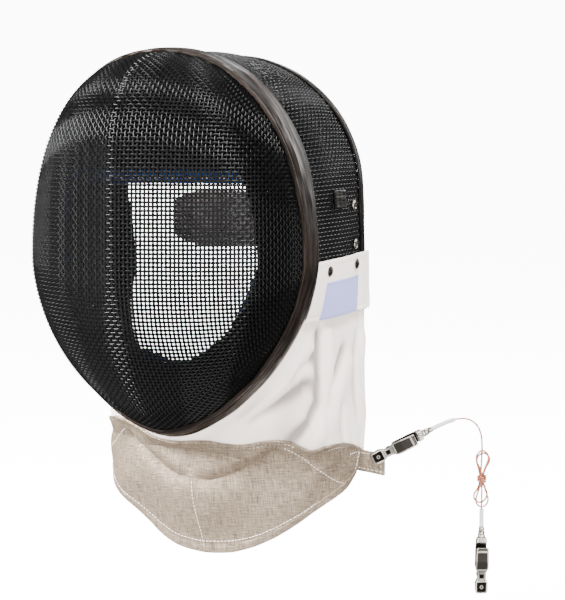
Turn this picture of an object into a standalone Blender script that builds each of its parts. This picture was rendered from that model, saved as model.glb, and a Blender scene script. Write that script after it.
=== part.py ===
"""Foil fencing mask: wire face dome, mesh crown, leather trims, padding, bib with a
conductive lower half, and a mask cord with two crocodile clips.

Metres, +Z up. The mask faces -Y and the wearer's left is +X. The origin is the place
under the crown padding where the mask sits on the top of the head.
"""
import bpy
import numpy as np
from math import cos, pi, radians, sin
from mathutils import Matrix, Vector

# ---------------------------------------------------------------- driving sizes
GAP = 0.0004                # between layers that lie on each other

TRIM_TOP = (-0.060, 0.0120)  # y and z of the trim's top centre
TRIM_HALF_WIDTH = 0.116
TRIM_RISE = 0.1605          # widest level of the trim up to its top
TRIM_DROP = 0.136           # widest level of the trim down to the chin
TRIM_UPPER_POWER = 2.2      # superellipse power above the widest level
TRIM_LOWER_POWER = 1.66     # and below it, towards the pointed chin
TRIM_SWEEP = 0.012          # how far the sides of the trim lie behind its top and chin
TRIM_FRONT = 0.014          # trim ahead of the seam between dome and crown
TRIM_REAR = 0.011           # trim behind that seam
TRIM_WALL = 0.0026
TRIM_SEAT = 0.0008          # underside of the trim off the seam's line

DOME_DEPTH = 0.089          # nose of the dome ahead of the trim's top and chin
DOME_KEEL = 0.50            # share of the depth lost from the ridge to the side
DOME_RIDGE = 0.008          # half width over which the ridge is rounded
MESH_WALL = 0.0020          # two crossing wires

RIM_HALF_WIDTH = 0.110
RIM_BEHIND = 0.114          # rear rim behind the trim's top
RIM_BELOW = 0.002           # top of the rear rim below the trim's top
RIM_ARCH = 0.104            # height of the arched top of the rim above its straight sides
RIM_LEAN = 0.065            # the rim runs back as it goes down, per metre
CROWN_BULGE = 0.003
CROWN_FLAT = 0.14           # share of the way to the rim that stays flat under the trim
CROWN_ROWS = (0.004, 0.14, 0.38, 0.68, 0.93, 1.0)   # shares of the way to the rim
LINER_ROWS = (0.060, 0.14, 0.38, 0.68)
CROWN_DROP = 0.205          # lower edge of the crown mesh below the trim's top

PAD_WALL = 0.008
PAD_INSET = 0.965           # pads end this share of the way out to the trim

CLOTH_WALL = 0.0018
LAME_WALL = 0.0016

BIB_HALF_WIDTH = 0.1055
BIB_REAR_SHIFT = 0.008      # the bib's rear edge ends this far behind the rim's line
BIB_CORNER = 0.71           # share of the way round at which the sides become straight
BIB_WAIST = 0.10            # share by which the cloth narrows below the jaw
BIB_TILT = 0.05             # the bib hangs a little higher on the wearer's right
SEAM_DROP = 0.3130          # lame's top edge below the trim's top, at the front
SEAM_REAR_DROP = 0.3175     # and at the rear edge
HEM_DROP = 0.401            # hem's lowest point below the trim's top
HEM_RISE = 0.068            # and how much higher it is at the rear edge
HEM_ROUND = 0.15            # share of the way back over which its front is rounded
LAME_CUT = 4                # grid columns by which the lame ends short of the rear edge

STRAP_HEIGHT = 0.044        # back strap, riveted inside the rim on the left
STRAP_WALL = 0.0022
STRAP_MID_Z = -0.1235
STRAP_BOW = 0.024           # how far it bows out behind the rim
STRAP_END_TURN = radians(133)   # how far round behind the head its free end reaches

TAB_WALL = 0.0014           # contact tab that the cord's clip bites on
TAB_HEIGHT = 0.0165

CLIP_WIDTH = 0.0105
CLIP_PIVOT = 0.0160         # pin's distance from the tip of the jaws
CLIP_BODY = 0.0460          # end of the clip's body
CLIP_LENGTH = 0.0550        # end of its crimped tail
CLIP_AXIS_RISE = radians(27)    # clip A points up along its tab by this much
WIRE = 0.0015               # outer diameter of the cord's insulation
SLEEVE = 0.0036             # clear sleeve over the cord's crimped end
HANK_LENGTH = 0.050
POLY = 10                   # sides of small turned pieces

TOP_Y, TOP_Z = TRIM_TOP
CENTRE_Z = TOP_Z - TRIM_RISE
CHIN_Z = CENTRE_Z - TRIM_DROP
RIM_Y = TOP_Y + RIM_BEHIND
RIM_TOP_Z = TOP_Z - RIM_BELOW
RIM_SPRING_Z = RIM_TOP_Z - RIM_ARCH
PAD_SEAT = MESH_WALL + 2 * GAP
FACE_PAD_SEAT = PAD_SEAT + 0.0006   # the dome bends more tightly than the crown
PAD_DEPTH = FACE_PAD_SEAT + PAD_WALL
CROWN_LOW_Z = TOP_Z - CROWN_DROP


# ---------------------------------------------------------------- scene helpers
def clear_scene():
    for item in list(bpy.data.objects):
        bpy.data.objects.remove(item, do_unlink=True)


def material(name, colour, roughness, metallic=0.0):
    """One Principled material, made once and shared by name."""
    found = bpy.data.materials.get(name)
    if found:
        return found
    made = bpy.data.materials.new(name)
    made.use_nodes = True
    shader = made.node_tree.nodes["Principled BSDF"]
    shader.inputs["Base Color"].default_value = (*colour, 1.0)
    shader.inputs["Roughness"].default_value = roughness
    shader.inputs["Metallic"].default_value = metallic
    made.diffuse_color = (*colour, 1.0)
    return made


def finishes():
    material("black_wire", (0.012, 0.012, 0.013), 0.40, 0.6)
    material("trim_leather", (0.035, 0.024, 0.019), 0.28)
    material("binding_black", (0.012, 0.012, 0.013), 0.5)
    material("white_cloth", (0.86, 0.84, 0.83), 0.9)
    material("lame_cloth", (0.52, 0.48, 0.44), 0.5, 0.5)
    material("pad_navy", (0.030, 0.038, 0.090), 0.9)
    material("strap_grey", (0.10, 0.09, 0.085), 0.7)
    material("label_lavender", (0.60, 0.58, 0.80), 0.6)
    material("nickel", (0.55, 0.54, 0.52), 0.3, 1.0)
    material("clear_sleeve", (0.85, 0.86, 0.88), 0.25)
    material("copper_wire", (0.55, 0.25, 0.11), 0.4)


def solid(name, points, faces, finish):
    """A named object from points in place; its own origin stays at the part's."""
    mesh = bpy.data.meshes.new(name)
    mesh.from_pydata([tuple(map(float, p)) for p in points], [], faces)
    mesh.update()
    made = bpy.data.objects.new(name, mesh)
    bpy.context.collection.objects.link(made)
    mesh.materials.append(bpy.data.materials[finish])
    mesh.shade_smooth()
    mesh.set_sharp_from_angle(angle=radians(35))
    return made


def put_origin(item, place):
    """Put an object's own origin at a place, such as its joint's, and leave its shape."""
    item.data.transform(Matrix.Translation(-Vector(place)))
    item.location = place


# ---------------------------------------------------------------- surfaces of points
def normals(grid, wrap=False):
    """Unit normals of a grid of points: across the columns crossed with down the rows."""
    if wrap:
        along = np.roll(grid, -1, axis=1) - np.roll(grid, 1, axis=1)
    else:
        along = np.gradient(grid, axis=1)
    down = np.gradient(grid, axis=0)
    normal = np.cross(along, down)
    return normal / np.maximum(np.linalg.norm(normal, axis=2, keepdims=True), 1e-12)


def shell(name, grid, out, near, far, finish, wrap=False):
    """A closed wall that follows a grid, between two distances along its directions out."""
    rows, columns = grid.shape[:2]
    points = np.concatenate([(grid + out * near).reshape(-1, 3),
                             (grid + out * far).reshape(-1, 3)])
    size = rows * columns
    faces = []
    last = columns if wrap else columns - 1
    for i in range(rows - 1):
        for j in range(last):
            k = (j + 1) % columns
            a, b, c, d = i*columns + j, i*columns + k, (i+1)*columns + k, (i+1)*columns + j
            faces.append((a, d, c, b))
            faces.append((size + a, size + b, size + c, size + d))
    for j in range(last):
        k = (j + 1) % columns
        faces.append((j, k, size + k, size + j))
        a, b = (rows-1)*columns + j, (rows-1)*columns + k
        faces.append((b, a, size + a, size + b))
    if not wrap:
        for i in range(rows - 1):
            a, b = i*columns, (i+1)*columns
            faces.append((b, a, size + a, size + b))
            a, b = a + columns - 1, b + columns - 1
            faces.append((a, b, size + b, size + a))
    return outward(solid(name, points, faces, finish))


def outward(item):
    """Turn a closed shape's faces outwards if they all point in."""
    mesh = item.data
    mesh.calc_loop_triangles()
    points = np.array([v.co for v in mesh.vertices])
    volume = 0.0
    for tri in mesh.loop_triangles:
        a, b, c = (points[k] for k in tri.vertices)
        volume += float(np.dot(a, np.cross(b, c)))
    if volume < 0:
        mesh.flip_normals()
    return item


def swept(name, sections, finish, closed):
    """A closed solid through sections of equal point count, as a loop or with end caps."""
    sections = np.asarray(sections, float)
    count, sides = sections.shape[:2]
    faces = []
    for i in range(count if closed else count - 1):
        n = (i + 1) % count
        for j in range(sides):
            k = (j + 1) % sides
            faces.append((i*sides + j, i*sides + k, n*sides + k, n*sides + j))
    if not closed:
        faces.append(tuple(range(sides))[::-1])
        faces.append(tuple((count-1)*sides + j for j in range(sides)))
    return outward(solid(name, sections.reshape(-1, 3), faces, finish))


def smoothstep(value):
    value = np.clip(value, 0.0, 1.0)
    return value * value * (3.0 - 2.0 * value)


def spaced(line, count):
    """The same line with a given number of points, evenly spaced along it."""
    line = np.asarray(line, float)
    run = np.concatenate([[0.0], np.cumsum(np.linalg.norm(np.diff(line, axis=0), axis=1))])
    at = np.linspace(0.0, run[-1], count)
    return np.stack([np.interp(at, run, line[:, k]) for k in range(3)], axis=1)


# ---------------------------------------------------------------- the mask's main forms
def trim_line(angle):
    """Seam between dome and crown; angle 0 at the top, pi at the chin, + to the left."""
    angle = np.asarray(angle, float)
    up, side = np.cos(angle), np.sin(angle)
    power = np.where(up >= 0, TRIM_UPPER_POWER, TRIM_LOWER_POWER)
    height = np.where(up >= 0, TRIM_RISE, TRIM_DROP)
    x = TRIM_HALF_WIDTH * np.sign(side) * np.abs(side) ** (2 / power)
    z = CENTRE_Z + height * np.sign(up) * np.abs(up) ** (2 / power)
    y = TOP_Y + TRIM_SWEEP * side ** 2
    return np.stack([x, y, z], axis=-1)


def dome_point(angle, share):
    """The dome's outer surface; share 0 at its middle, 1 at the trim line."""
    angle, share = np.broadcast_arrays(np.asarray(angle, float), np.asarray(share, float))
    edge = trim_line(angle)
    x = edge[..., 0] * share
    z = CENTRE_Z + (edge[..., 2] - CENTRE_Z) * share
    up = np.clip(np.cos(angle), 0, 1) ** 2
    down = np.clip(-np.cos(angle), 0, 1) ** 2
    side = 1 - up - down
    flatness = 4.6 * up + 5.0 * side + 2.2 * down
    shoulder = 2.1 * up + 2.6 * side + 1.4 * down
    soft = DOME_RIDGE / TRIM_HALF_WIDTH
    keel = DOME_KEEL * (np.sqrt((x / TRIM_HALF_WIDTH) ** 2 + soft ** 2) - soft)
    rise = (1 - keel) * (1 - np.clip(share, 0, 1) ** flatness) ** (1 / shoulder)
    sweep = (edge[..., 1] - TOP_Y) * share ** 4 * (1 - rise)
    return np.stack([x, TOP_Y + sweep - DOME_DEPTH * rise, z], axis=-1)


def side_angle(level):
    """The trim angle at which the trim line passes a level on its lower half."""
    angles = np.linspace(pi / 2, pi, 2000)
    return float(angles[np.argmax(trim_line(angles)[:, 2] < level)])


def rim_line(count):
    """The rear rim from its lower left end over the top to its lower right end."""
    turn = np.linspace(pi / 2, -pi / 2, 120)
    arch = np.stack([RIM_HALF_WIDTH * np.sin(turn), np.zeros(120),
                     RIM_SPRING_Z + RIM_ARCH * np.cos(turn)], axis=1)
    leg = np.linspace(CROWN_LOW_Z, RIM_SPRING_Z, 40, endpoint=False)
    left = np.stack([np.full(40, RIM_HALF_WIDTH), np.zeros(40), leg], axis=1)
    line = np.concatenate([left, arch, (left * [-1, 1, 1])[::-1]])
    line[:, 1] = RIM_Y + RIM_LEAN * (RIM_TOP_Z - line[:, 2])
    return spaced(line, count)


def front_line(count):
    """The crown's front edge, alongside the rim line."""
    low = side_angle(CROWN_LOW_Z)
    return spaced(trim_line(np.linspace(low, -low, 800)), count)


def crown_grid(depths, count):
    """Rows from the trim back to the rim (depths are shares), columns left to right."""
    front, rear = front_line(count), rim_line(count)
    grid = np.stack([front + (rear - front) * depth for depth in depths])
    bulged = np.clip((np.asarray(depths) - CROWN_FLAT) / (1 - CROWN_FLAT), 0, 1)
    swell = (16 * (bulged * (1 - bulged)) ** 2)[:, None, None]
    return grid + outside(grid) * swell * CROWN_BULGE


def outside(grid, wrap=False):
    """Normals of a grid, turned away from the middle of the head."""
    normal = normals(grid, wrap)
    middle = np.array([0.0, RIM_Y / 2, CENTRE_Z])
    sign = np.sign(((grid - middle) * normal).sum(axis=2, keepdims=True))
    return normal * np.where(sign == 0, 1, sign)


# ---------------------------------------------------------------- mesh, trims and pads
def make_face_mesh():
    """Dome of welded wire, as a wall; its middle is closed by a fan of triangles."""
    around, rings = 40, 11
    angles = np.linspace(0, 2 * pi, around, endpoint=False)
    shares = np.sin(np.linspace(0.10, pi / 2, rings)) ** 0.9
    shares = shares / shares[-1]
    grid = dome_point(angles[None, :], shares[:, None])
    normal = outside(grid, wrap=True)
    normal[-1] = normal[-2]
    inner = grid - normal * MESH_WALL
    inner[-1, :, 1] = grid[-1, :, 1]
    middle = dome_point(0.0, 0.0)
    points = np.concatenate([grid.reshape(-1, 3), inner.reshape(-1, 3),
                             [middle, middle + [0, MESH_WALL, 0]]])
    size = rings * around
    faces = []
    for j in range(around):
        k = (j + 1) % around
        faces.append((2 * size, j, k))
        faces.append((2 * size + 1, size + k, size + j))
        for i in range(rings - 1):
            a, b, c, d = i*around + j, i*around + k, (i+1)*around + k, (i+1)*around + j
            faces.append((a, d, c, b))
            faces.append((size + a, size + b, size + c, size + d))
        a, b = (rings-1)*around + j, (rings-1)*around + k
        faces.append((a, size + a, size + b, b))
    outward(solid("face_mesh", points, faces, "black_wire"))


def make_front_trim():
    """Leather band over the seam: its front lies on the dome, its rear on the crown."""
    angles = np.linspace(0, 2 * pi, 60, endpoint=False)
    shares = np.linspace(0.80, 1.0, 400)
    line = trim_line(angles)
    along = np.roll(line, -1, axis=0) - np.roll(line, 1, axis=0)
    away = np.cross(along, [0, 1, 0])
    away /= np.linalg.norm(away, axis=1, keepdims=True)
    away *= np.sign((away * (line - [0, 0, CENTRE_Z])).sum(axis=1, keepdims=True))
    steps = np.array([-TRIM_FRONT, -TRIM_FRONT * 0.5, 0.0, TRIM_REAR * 0.5, TRIM_REAR])
    walls = TRIM_WALL * np.array([0.55, 1.0, 1.15, 1.0, 0.6])
    sections = []
    for angle, seat, out in zip(angles, line, away):
        profile = dome_point(np.full(400, angle), shares)
        under, over = [], []
        for step, wall in zip(steps, walls):
            base = seat + [0, step, 0]
            if step < 0:
                base = profile[np.argmin(np.abs(profile[:, 1] - base[1]))]
            if wall != TRIM_WALL:
                under.append(base + out * TRIM_SEAT)
            over.append(base + out * (TRIM_SEAT + wall))
        sections.append(over + under[::-1])
    swept("front_trim", sections, "trim_leather", closed=True)


def make_crown():
    grid = crown_grid(CROWN_ROWS, 37)
    shell("crown_mesh", grid, outside(grid), -MESH_WALL, 0.0, "black_wire")


def make_rear_trim():
    """Binding folded over the rear edge of the crown mesh."""
    grid = crown_grid([0.86, 0.93, 1.0], 37)
    out = outside(grid)[2]
    rim = grid[2]
    back = grid[2] - grid[1]
    back /= np.linalg.norm(back, axis=1, keepdims=True)
    profile = [(GAP, -0.0065), (GAP + 0.0013, -0.0065), (GAP + 0.0013, 0.0016),
               (-MESH_WALL - 0.0004, 0.0016), (-MESH_WALL - 0.0004, GAP), (GAP, GAP)]
    sections = [[p + o * side + b * behind for side, behind in profile]
                for p, o, b in zip(rim, out, back)]
    swept("rear_trim", sections, "binding_black", closed=False)


def pad_rows(low, count):
    """Levels on the upper half of the dome, from a level up to near the trim."""
    top = CENTRE_Z + TRIM_RISE * PAD_INSET
    return low + (top - low) * np.sin(np.linspace(0, pi / 2, count) * 0.92) / sin(pi / 2 * 0.92)


def dome_at(x, z):
    """The dome's outer surface over a place on the trim's plane."""
    height = np.where(z >= CENTRE_Z, TRIM_RISE, TRIM_DROP)
    power = np.where(z >= CENTRE_Z, TRIM_UPPER_POWER, TRIM_LOWER_POWER)
    share = ((np.abs(x) / TRIM_HALF_WIDTH) ** power
             + (np.abs(z - CENTRE_Z) / height) ** power) ** (1 / power)
    up = np.sign(z - CENTRE_Z) * (np.abs(z - CENTRE_Z) / height / share) ** (power / 2)
    return dome_point(np.sign(x) * np.arccos(np.clip(up, -1, 1)), share)


FOREHEAD_LOW_Z = TOP_Z - 0.0975   # lower edge of the forehead pad


def make_forehead_pad():
    """Quilted pad across the inside of the dome's upper part."""
    levels = pad_rows(FOREHEAD_LOW_Z, 8)
    reach = (levels - CENTRE_Z) / TRIM_RISE
    span = TRIM_HALF_WIDTH * (PAD_INSET ** TRIM_UPPER_POWER
                              - np.clip(reach, 0, PAD_INSET * 0.985) ** TRIM_UPPER_POWER)
    span = TRIM_HALF_WIDTH * (span / TRIM_HALF_WIDTH) ** (1 / TRIM_UPPER_POWER)
    across = np.sin(np.linspace(-pi / 2, pi / 2, 19))
    x = span[:, None] * across[None, :]
    z = np.repeat(levels[:, None], 19, axis=1)
    grid = dome_at(x, z)
    shell("forehead_pad", grid, outside(grid), -PAD_DEPTH, -FACE_PAD_SEAT, "pad_navy")


def make_face_pad():
    """Cheek and chin pad: a horseshoe inside the lower part of the dome."""
    start, count = radians(70), 29
    angles = np.linspace(start, 2 * pi - start, count)
    turned = np.abs(angles - pi) / (pi - start)
    inner = 0.73 + 0.11 * turned ** 2
    rows = np.linspace(0, 1, 5)
    shares = inner[None, :] + (PAD_INSET - inner)[None, :] * rows[:, None]
    grid = dome_point(angles[None, :], shares)
    shell("face_pad", grid, outside(grid), -PAD_DEPTH, -FACE_PAD_SEAT, "pad_navy")


def make_crown_liner():
    """Padding under the crown mesh, from one side over the head to the other."""
    grid = crown_grid(LINER_ROWS, 37)
    shell("crown_liner", grid, outside(grid), -PAD_DEPTH, -PAD_SEAT, "pad_navy")


# ---------------------------------------------------------------- bib
# A fold runs from its place at the top of the white cloth to its place at the lame's
# top edge. Places are shares of the way from the chin back to the rear edge.
FOLDS = (
    # top, bottom, width, depth
    (0.50, 0.34, 0.050, 0.0050),
    (0.62, 0.48, 0.050, 0.0060),
    (0.73, 0.63, 0.045, 0.0060),
    (0.85, 0.80, 0.045, 0.0050),
)
SMILE_AT = 0.31             # smile fold's place between the lame's top edge and its hem
SMILE_REACH = 0.36          # share of the way back at which it meets that edge
SMILE_DEPTH = 0.0050
# Front of the bib behind the trim's plane, at depths below the trim's top.
FRONT_PROFILE = (
    # drop, behind
    (0.296, 0.014),
    (0.303, 0.028),
    (0.313, 0.039),
    (0.346, 0.038),
    (0.365, 0.046),
    (0.385, 0.057),
    (0.401, 0.061),
)


def bib_ring(share, drop):
    """The bib's level outline: x and y; share 0 at the front, 1 at the rear edge."""
    front = TOP_Y + np.interp(drop, *zip(*FRONT_PROFILE))
    rear = RIM_Y + RIM_LEAN * drop + BIB_REAR_SHIFT * smoothstep((drop - 0.2) / 0.1)
    bend = rear - 0.050
    turn = np.minimum(share / BIB_CORNER, 1.0) * pi / 2
    beyond = np.clip((share - BIB_CORNER) / (1 - BIB_CORNER), 0, 1)
    power = 2 / 2.15
    x = BIB_HALF_WIDTH * np.sin(turn) ** power
    y = bend - (bend - front) * np.cos(turn) ** power + (rear - bend) * beyond
    return x, y


def bib_top(share):
    """Where the white cloth starts: behind the trim, then along the crown's edge."""
    corner = 0.56
    low = side_angle(CROWN_LOW_Z - 0.0006)
    angle = pi - (pi - low) * np.minimum(share / corner, 1.0)
    x, y, z = np.moveaxis(trim_line(angle), -1, 0)
    y = y + TRIM_REAR + 0.0008
    back = np.clip((share - corner) / (1 - corner), 0, 1)
    y = y + (RIM_Y + RIM_LEAN * CROWN_DROP - y) * back
    x = x + (RIM_HALF_WIDTH - 0.001 - x) * smoothstep(back)
    return x, y, z


def bib_point(share, fall):
    """Half of the bib (left). fall 0 at the top edge, 1 at the lame's edge, 2 at the hem."""
    x, y, z = bib_top(share)
    seam = SEAM_DROP + (SEAM_REAR_DROP - SEAM_DROP) * share ** 2
    round_share = (np.sqrt(share ** 2 + HEM_ROUND ** 2) - HEM_ROUND) / (1 - HEM_ROUND)
    hem = HEM_DROP - HEM_RISE * round_share
    upper, lower = np.clip(fall, 0, 1), np.clip(fall - 1, 0, 1)
    z = z + (TOP_Z - seam - z) * upper - (hem - seam) * lower
    ring_x, ring_y = bib_ring(share, TOP_Z - z)
    merge = upper ** 1.25
    x = x + (ring_x - x) * merge
    y = y + (ring_y - y) * merge
    x = x * (1 - BIB_WAIST * 4 * upper * (1 - upper) * np.sin(pi * np.minimum(share / 0.66, 1)))
    y = y - 0.009 * smoothstep((share - 0.8) / 0.2) * smoothstep((fall - 0.7) / 0.4)
    return np.stack([x, y, z], axis=-1)


def fold_height(share, fall):
    """Folds of the white cloth and the smile fold of the lame, out from the surface."""
    height = np.zeros_like(share)
    reach = smoothstep(fall / 0.25) * (1 - smoothstep((fall - 0.60) / 0.5))
    for top, bottom, width, depth in FOLDS:
        line = top + (bottom - top) * np.minimum(fall, 1.3)
        height += depth * reach * np.exp(-((share - line) / width) ** 2)
        valley = line + width * 1.4
        height -= 0.6 * depth * reach * np.exp(-((share - valley) / width) ** 2)
    lower = fall - 1
    at = SMILE_AT * (1 - (share / SMILE_REACH) ** 2)
    live = smoothstep((SMILE_REACH + 0.04 - share) / 0.30) * smoothstep(lower / 0.15)
    height -= SMILE_DEPTH * live * np.exp(-((lower - at) / 0.11) ** 2)
    height += SMILE_DEPTH * live * np.exp(-((lower - at - 0.24) / 0.14) ** 2)
    return height


def bib_grid(falls, columns):
    """Both halves of the bib as one grid, with its folds, from side to side."""
    side = np.linspace(-1, 1, columns)
    share, fall = np.meshgrid(np.abs(side), falls)
    half = bib_point(share, fall)
    half[..., 0] *= np.sign(side)
    half[..., 2] -= BIB_TILT * half[..., 0] * smoothstep(fall)
    return half + outside(half) * fold_height(share, fall)[..., None]


def make_bib():
    """White cloth down to just inside the lame's top edge, and the lame outside it."""
    above = np.linspace(0.0, 1.0, 9)
    below = 1 + np.array([0.07, 0.15, 0.23, 0.31, 0.39, 0.48, 0.60, 0.78, 1.0])
    grid = bib_grid(np.concatenate([above, below]), 47)
    out = outside(grid)
    seam, under = len(above) - 1, len(above) + 1
    shell("bib_white", grid[:under], out[:under], -CLOTH_WALL, 0.0, "white_cloth")
    kept = slice(LAME_CUT, -LAME_CUT)
    shell("bib_lame", grid[seam:, kept], out[seam:, kept], GAP, GAP + LAME_WALL,
          "lame_cloth")


# ---------------------------------------------------------------- sides and back
def side_surface(levels, depths, side):
    """Places on the crown's side and the directions out of it, a row for each level."""
    fine = crown_grid(depths, 301)
    out = outside(fine)
    half = slice(0, 120)
    place = np.zeros((len(levels), len(depths), 3))
    away = np.zeros_like(place)
    for j in range(len(depths)):
        height = fine[j, half, 2]
        for k in range(3):
            place[:, j, k] = np.interp(levels, height, fine[j, half, k])
            away[:, j, k] = np.interp(levels, height, out[j, half, k])
    mirror = np.array([side, 1, 1])
    return place * mirror, away * mirror


TAB_TOP_Z, TAB_LOW_Z = -0.148, -0.199
TAB_SLOPE = 0.004           # the tab rises this much from the trim to the rim
LABEL_WALL = 0.0007
TAB_ROWS = (0.125, 0.21, 0.30, 0.44, 0.58, 0.72, 0.86, 0.93, 1.02)
LABEL_TOP_Z, LABEL_LOW_Z = -0.1645, -0.1930
OVER_RIM = 0.0019           # what lies over the rear trim stands this much further out


def tab_surface(levels, side):
    """The tab's inner face over the crown and the rear trim, and the directions out."""
    rows = np.array(TAB_ROWS)
    place, out = side_surface(levels, rows, side)
    place[..., 2] += TAB_SLOPE * (rows - 0.6)
    lift = GAP + OVER_RIM * smoothstep((rows - 0.80) / 0.10)
    return place + out * lift[None, :, None], out


def make_side_tab(name, side):
    """White cloth tab over the joint of crown mesh and bib, from the trim round the rim."""
    place, out = tab_surface(np.linspace(TAB_LOW_Z, TAB_TOP_Z, 5), side)
    shell(name, place, out, 0.0, CLOTH_WALL, "white_cloth")


def make_label():
    """Bare woven label sewn on the left tab."""
    place, out = tab_surface(np.linspace(LABEL_LOW_Z, LABEL_TOP_Z, 3), 1)
    kept = slice(2, 7)
    shell("label_patch", place[:, kept], out[:, kept], CLOTH_WALL + GAP,
          CLOTH_WALL + GAP + LABEL_WALL, "label_lavender")


def frame_at(level, depth, side):
    """Place, direction out, direction back and direction up on the crown's side."""
    place, out = side_surface(np.array([level]), [depth - 0.02, depth, depth + 0.02], side)
    back = place[0, 2] - place[0, 0]
    out = out[0, 1] / np.linalg.norm(out[0, 1])
    back -= out * (back @ out)
    back /= np.linalg.norm(back)
    up = np.cross(out, back) * side
    return place[0, 1], out, back, up


def turned(name, centre, axis, profile, finish):
    """A solid of revolution: profile rows are (radius, height along the axis)."""
    axis = axis / np.linalg.norm(axis)
    first = np.cross(axis, [0.31, 0.17, 0.93])
    first /= np.linalg.norm(first)
    second = np.cross(axis, first)
    turns = np.linspace(0, 2 * pi, POLY, endpoint=False)
    sections = [[centre + axis * height + radius * (first * cos(t) + second * sin(t))
                 for t in turns] for radius, height in profile]
    return swept(name, sections, finish, closed=False)


def make_studs(side_name, side):
    """Snaps on the cloth tab and two strap rivets on the crown mesh."""
    for word, level, depth, base in (
            ("snap_front", -0.1570, 0.30, GAP + CLOTH_WALL),
            ("snap_rear", -0.1545, 0.76, GAP + CLOTH_WALL + 0.0009),
            ("rivet_upper", -0.1080, 0.79, 0.0),
            ("rivet_lower", -0.1390, 0.79, 0.0)):
        place, out, _, _ = frame_at(level, depth, side)
        base += GAP
        profile = [(0.0042, base), (0.0042, base + 0.0006), (0.0030, base + 0.0015),
                   (0.0012, base + 0.0019)]
        turned(f"{word}_{side_name}", place, out, profile, "nickel")


def make_side_patch(name, side):
    """Small square keeper on the crown mesh."""
    half = 0.0055
    place, out = side_surface(np.array([-half, half]) - 0.0995, [0.50, 0.60], side)
    shell(name, place, out, GAP, GAP + 0.0012, "binding_black")


def make_back_strap():
    """Strap riveted inside the left rim, bowed round behind the head to a free end."""
    depths = np.linspace(0.76, 1.0, 5)
    place, out = side_surface(np.array([STRAP_MID_Z]), depths, 1)
    seated = place[0] - out[0] * (MESH_WALL + GAP + 0.0004 + STRAP_WALL / 2)
    seated[:, 2] = STRAP_MID_Z
    start = seated[-1]
    turns = np.linspace(0, STRAP_END_TURN, 20)[1:]
    bow = np.stack([start[0] * np.cos(turns), start[1] + STRAP_BOW * np.sin(turns),
                    np.full(len(turns), STRAP_MID_Z)], axis=1)
    path = np.concatenate([seated, bow])
    along = np.gradient(path, axis=0)
    out = np.cross(along, [0, 0, 1.0])
    out /= np.linalg.norm(out, axis=1, keepdims=True)
    half, wall = STRAP_HEIGHT / 2, STRAP_WALL / 2
    heights = half * np.minimum(1, 0.72 + np.arange(len(path))[::-1] * 0.14)
    sections = [[p + o * a * wall + np.array([0, 0, b * high]) for a, b in
                 ((-1, -1), (1, -1), (1, 1), (-1, 1))] for p, o, high in zip(path, out, heights)]
    swept("back_strap", sections, "strap_grey", closed=False)


# ---------------------------------------------------------------- contact tab and cord
CLIP_DIRECTION = np.array([0.8788, 0.4773, 0.0])    # level direction of tab and clip A
CLIP_FACE = np.array([0.4773, -0.8788, 0.0])        # out of the tab's face, to the front
TAB_SEAT = np.array([BIB_HALF_WIDTH + 0.0032, 0.0430, -0.3150])
TAB_BEND = 0.012            # radius at which the tab turns out from the lame


def tab_path():
    """Middle line of the contact tab: on the lame's side, then out along the clip."""
    leg = [TAB_SEAT, TAB_SEAT + [0, 0.018, 0]]
    centre = leg[1] + [TAB_BEND, 0, 0]
    turn = pi / 2 - np.arctan2(CLIP_DIRECTION[1], CLIP_DIRECTION[0])
    arc = [centre + TAB_BEND * np.array([-cos(t), sin(t), 0])
           for t in np.linspace(0, turn, 5)[1:]]
    return np.array(leg + arc + [arc[-1] + CLIP_DIRECTION * 0.0105])


def make_contact_tab():
    path = tab_path()
    run = np.concatenate([[0], np.cumsum(np.linalg.norm(np.diff(path, axis=0), axis=1))])
    path[:, 2] -= 0.24 * np.maximum(run - 0.014, 0)
    along = np.gradient(path, axis=0)
    along[:, 2] = 0
    out = np.cross(along, [0, 0, 1.0])
    out /= np.linalg.norm(out, axis=1, keepdims=True)
    corners = ((-1, -1), (1, -1), (1, 1), (-1, 1))
    sections = [[p + o * a * TAB_WALL / 2 + [0, 0, b * TAB_HEIGHT / 2] for a, b in corners]
                for p, o in zip(path, out)]
    swept("contact_tab", sections, "lame_cloth", closed=False)


# Clip outlines in (along from the jaw tip, out of the clip's face) millimetres.
BODY_OUTLINE = ((0, -1.0), (0, -2.6), (3, -3.4), (12, -3.4), (18, -4.2), (40, -3.0),
                (46, -2.4), (46, 2.4), (42, 2.4), (40, 0.2), (22, -2.6), (18, -2.6),
                (16, -1.3), (10, -1.0))
LEVER_OUTLINE = ((0, 1.0), (10, 1.0), (16, 1.3), (20, 2.0), (27, 6.2), (39, 8.2),
                 (39, 9.2), (27, 8.0), (18, 4.6), (12, 3.6), (3, 3.4), (0, 2.6))
JAW_WIDE = ((0, 0.86), (9, 1.0), (12, 0.74), (17, 0.74), (20, 1.0), (40, 0.92), (46, 0.8))


def clip_shape(name, outline, tip, along, face, finish):
    """A bent-metal clip half: its outline swept across a width that follows the jaws."""
    across = np.cross(along, face)
    stations, shares = zip(*JAW_WIDE)
    near, far = [], []
    for u, s in outline:
        half = CLIP_WIDTH / 2 * np.interp(u, stations, shares)
        base = tip + along * u / 1000 + face * s / 1000
        near.append(base - across * half)
        far.append(base + across * half)
    return swept(name, [near, far], finish, closed=False)


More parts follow.
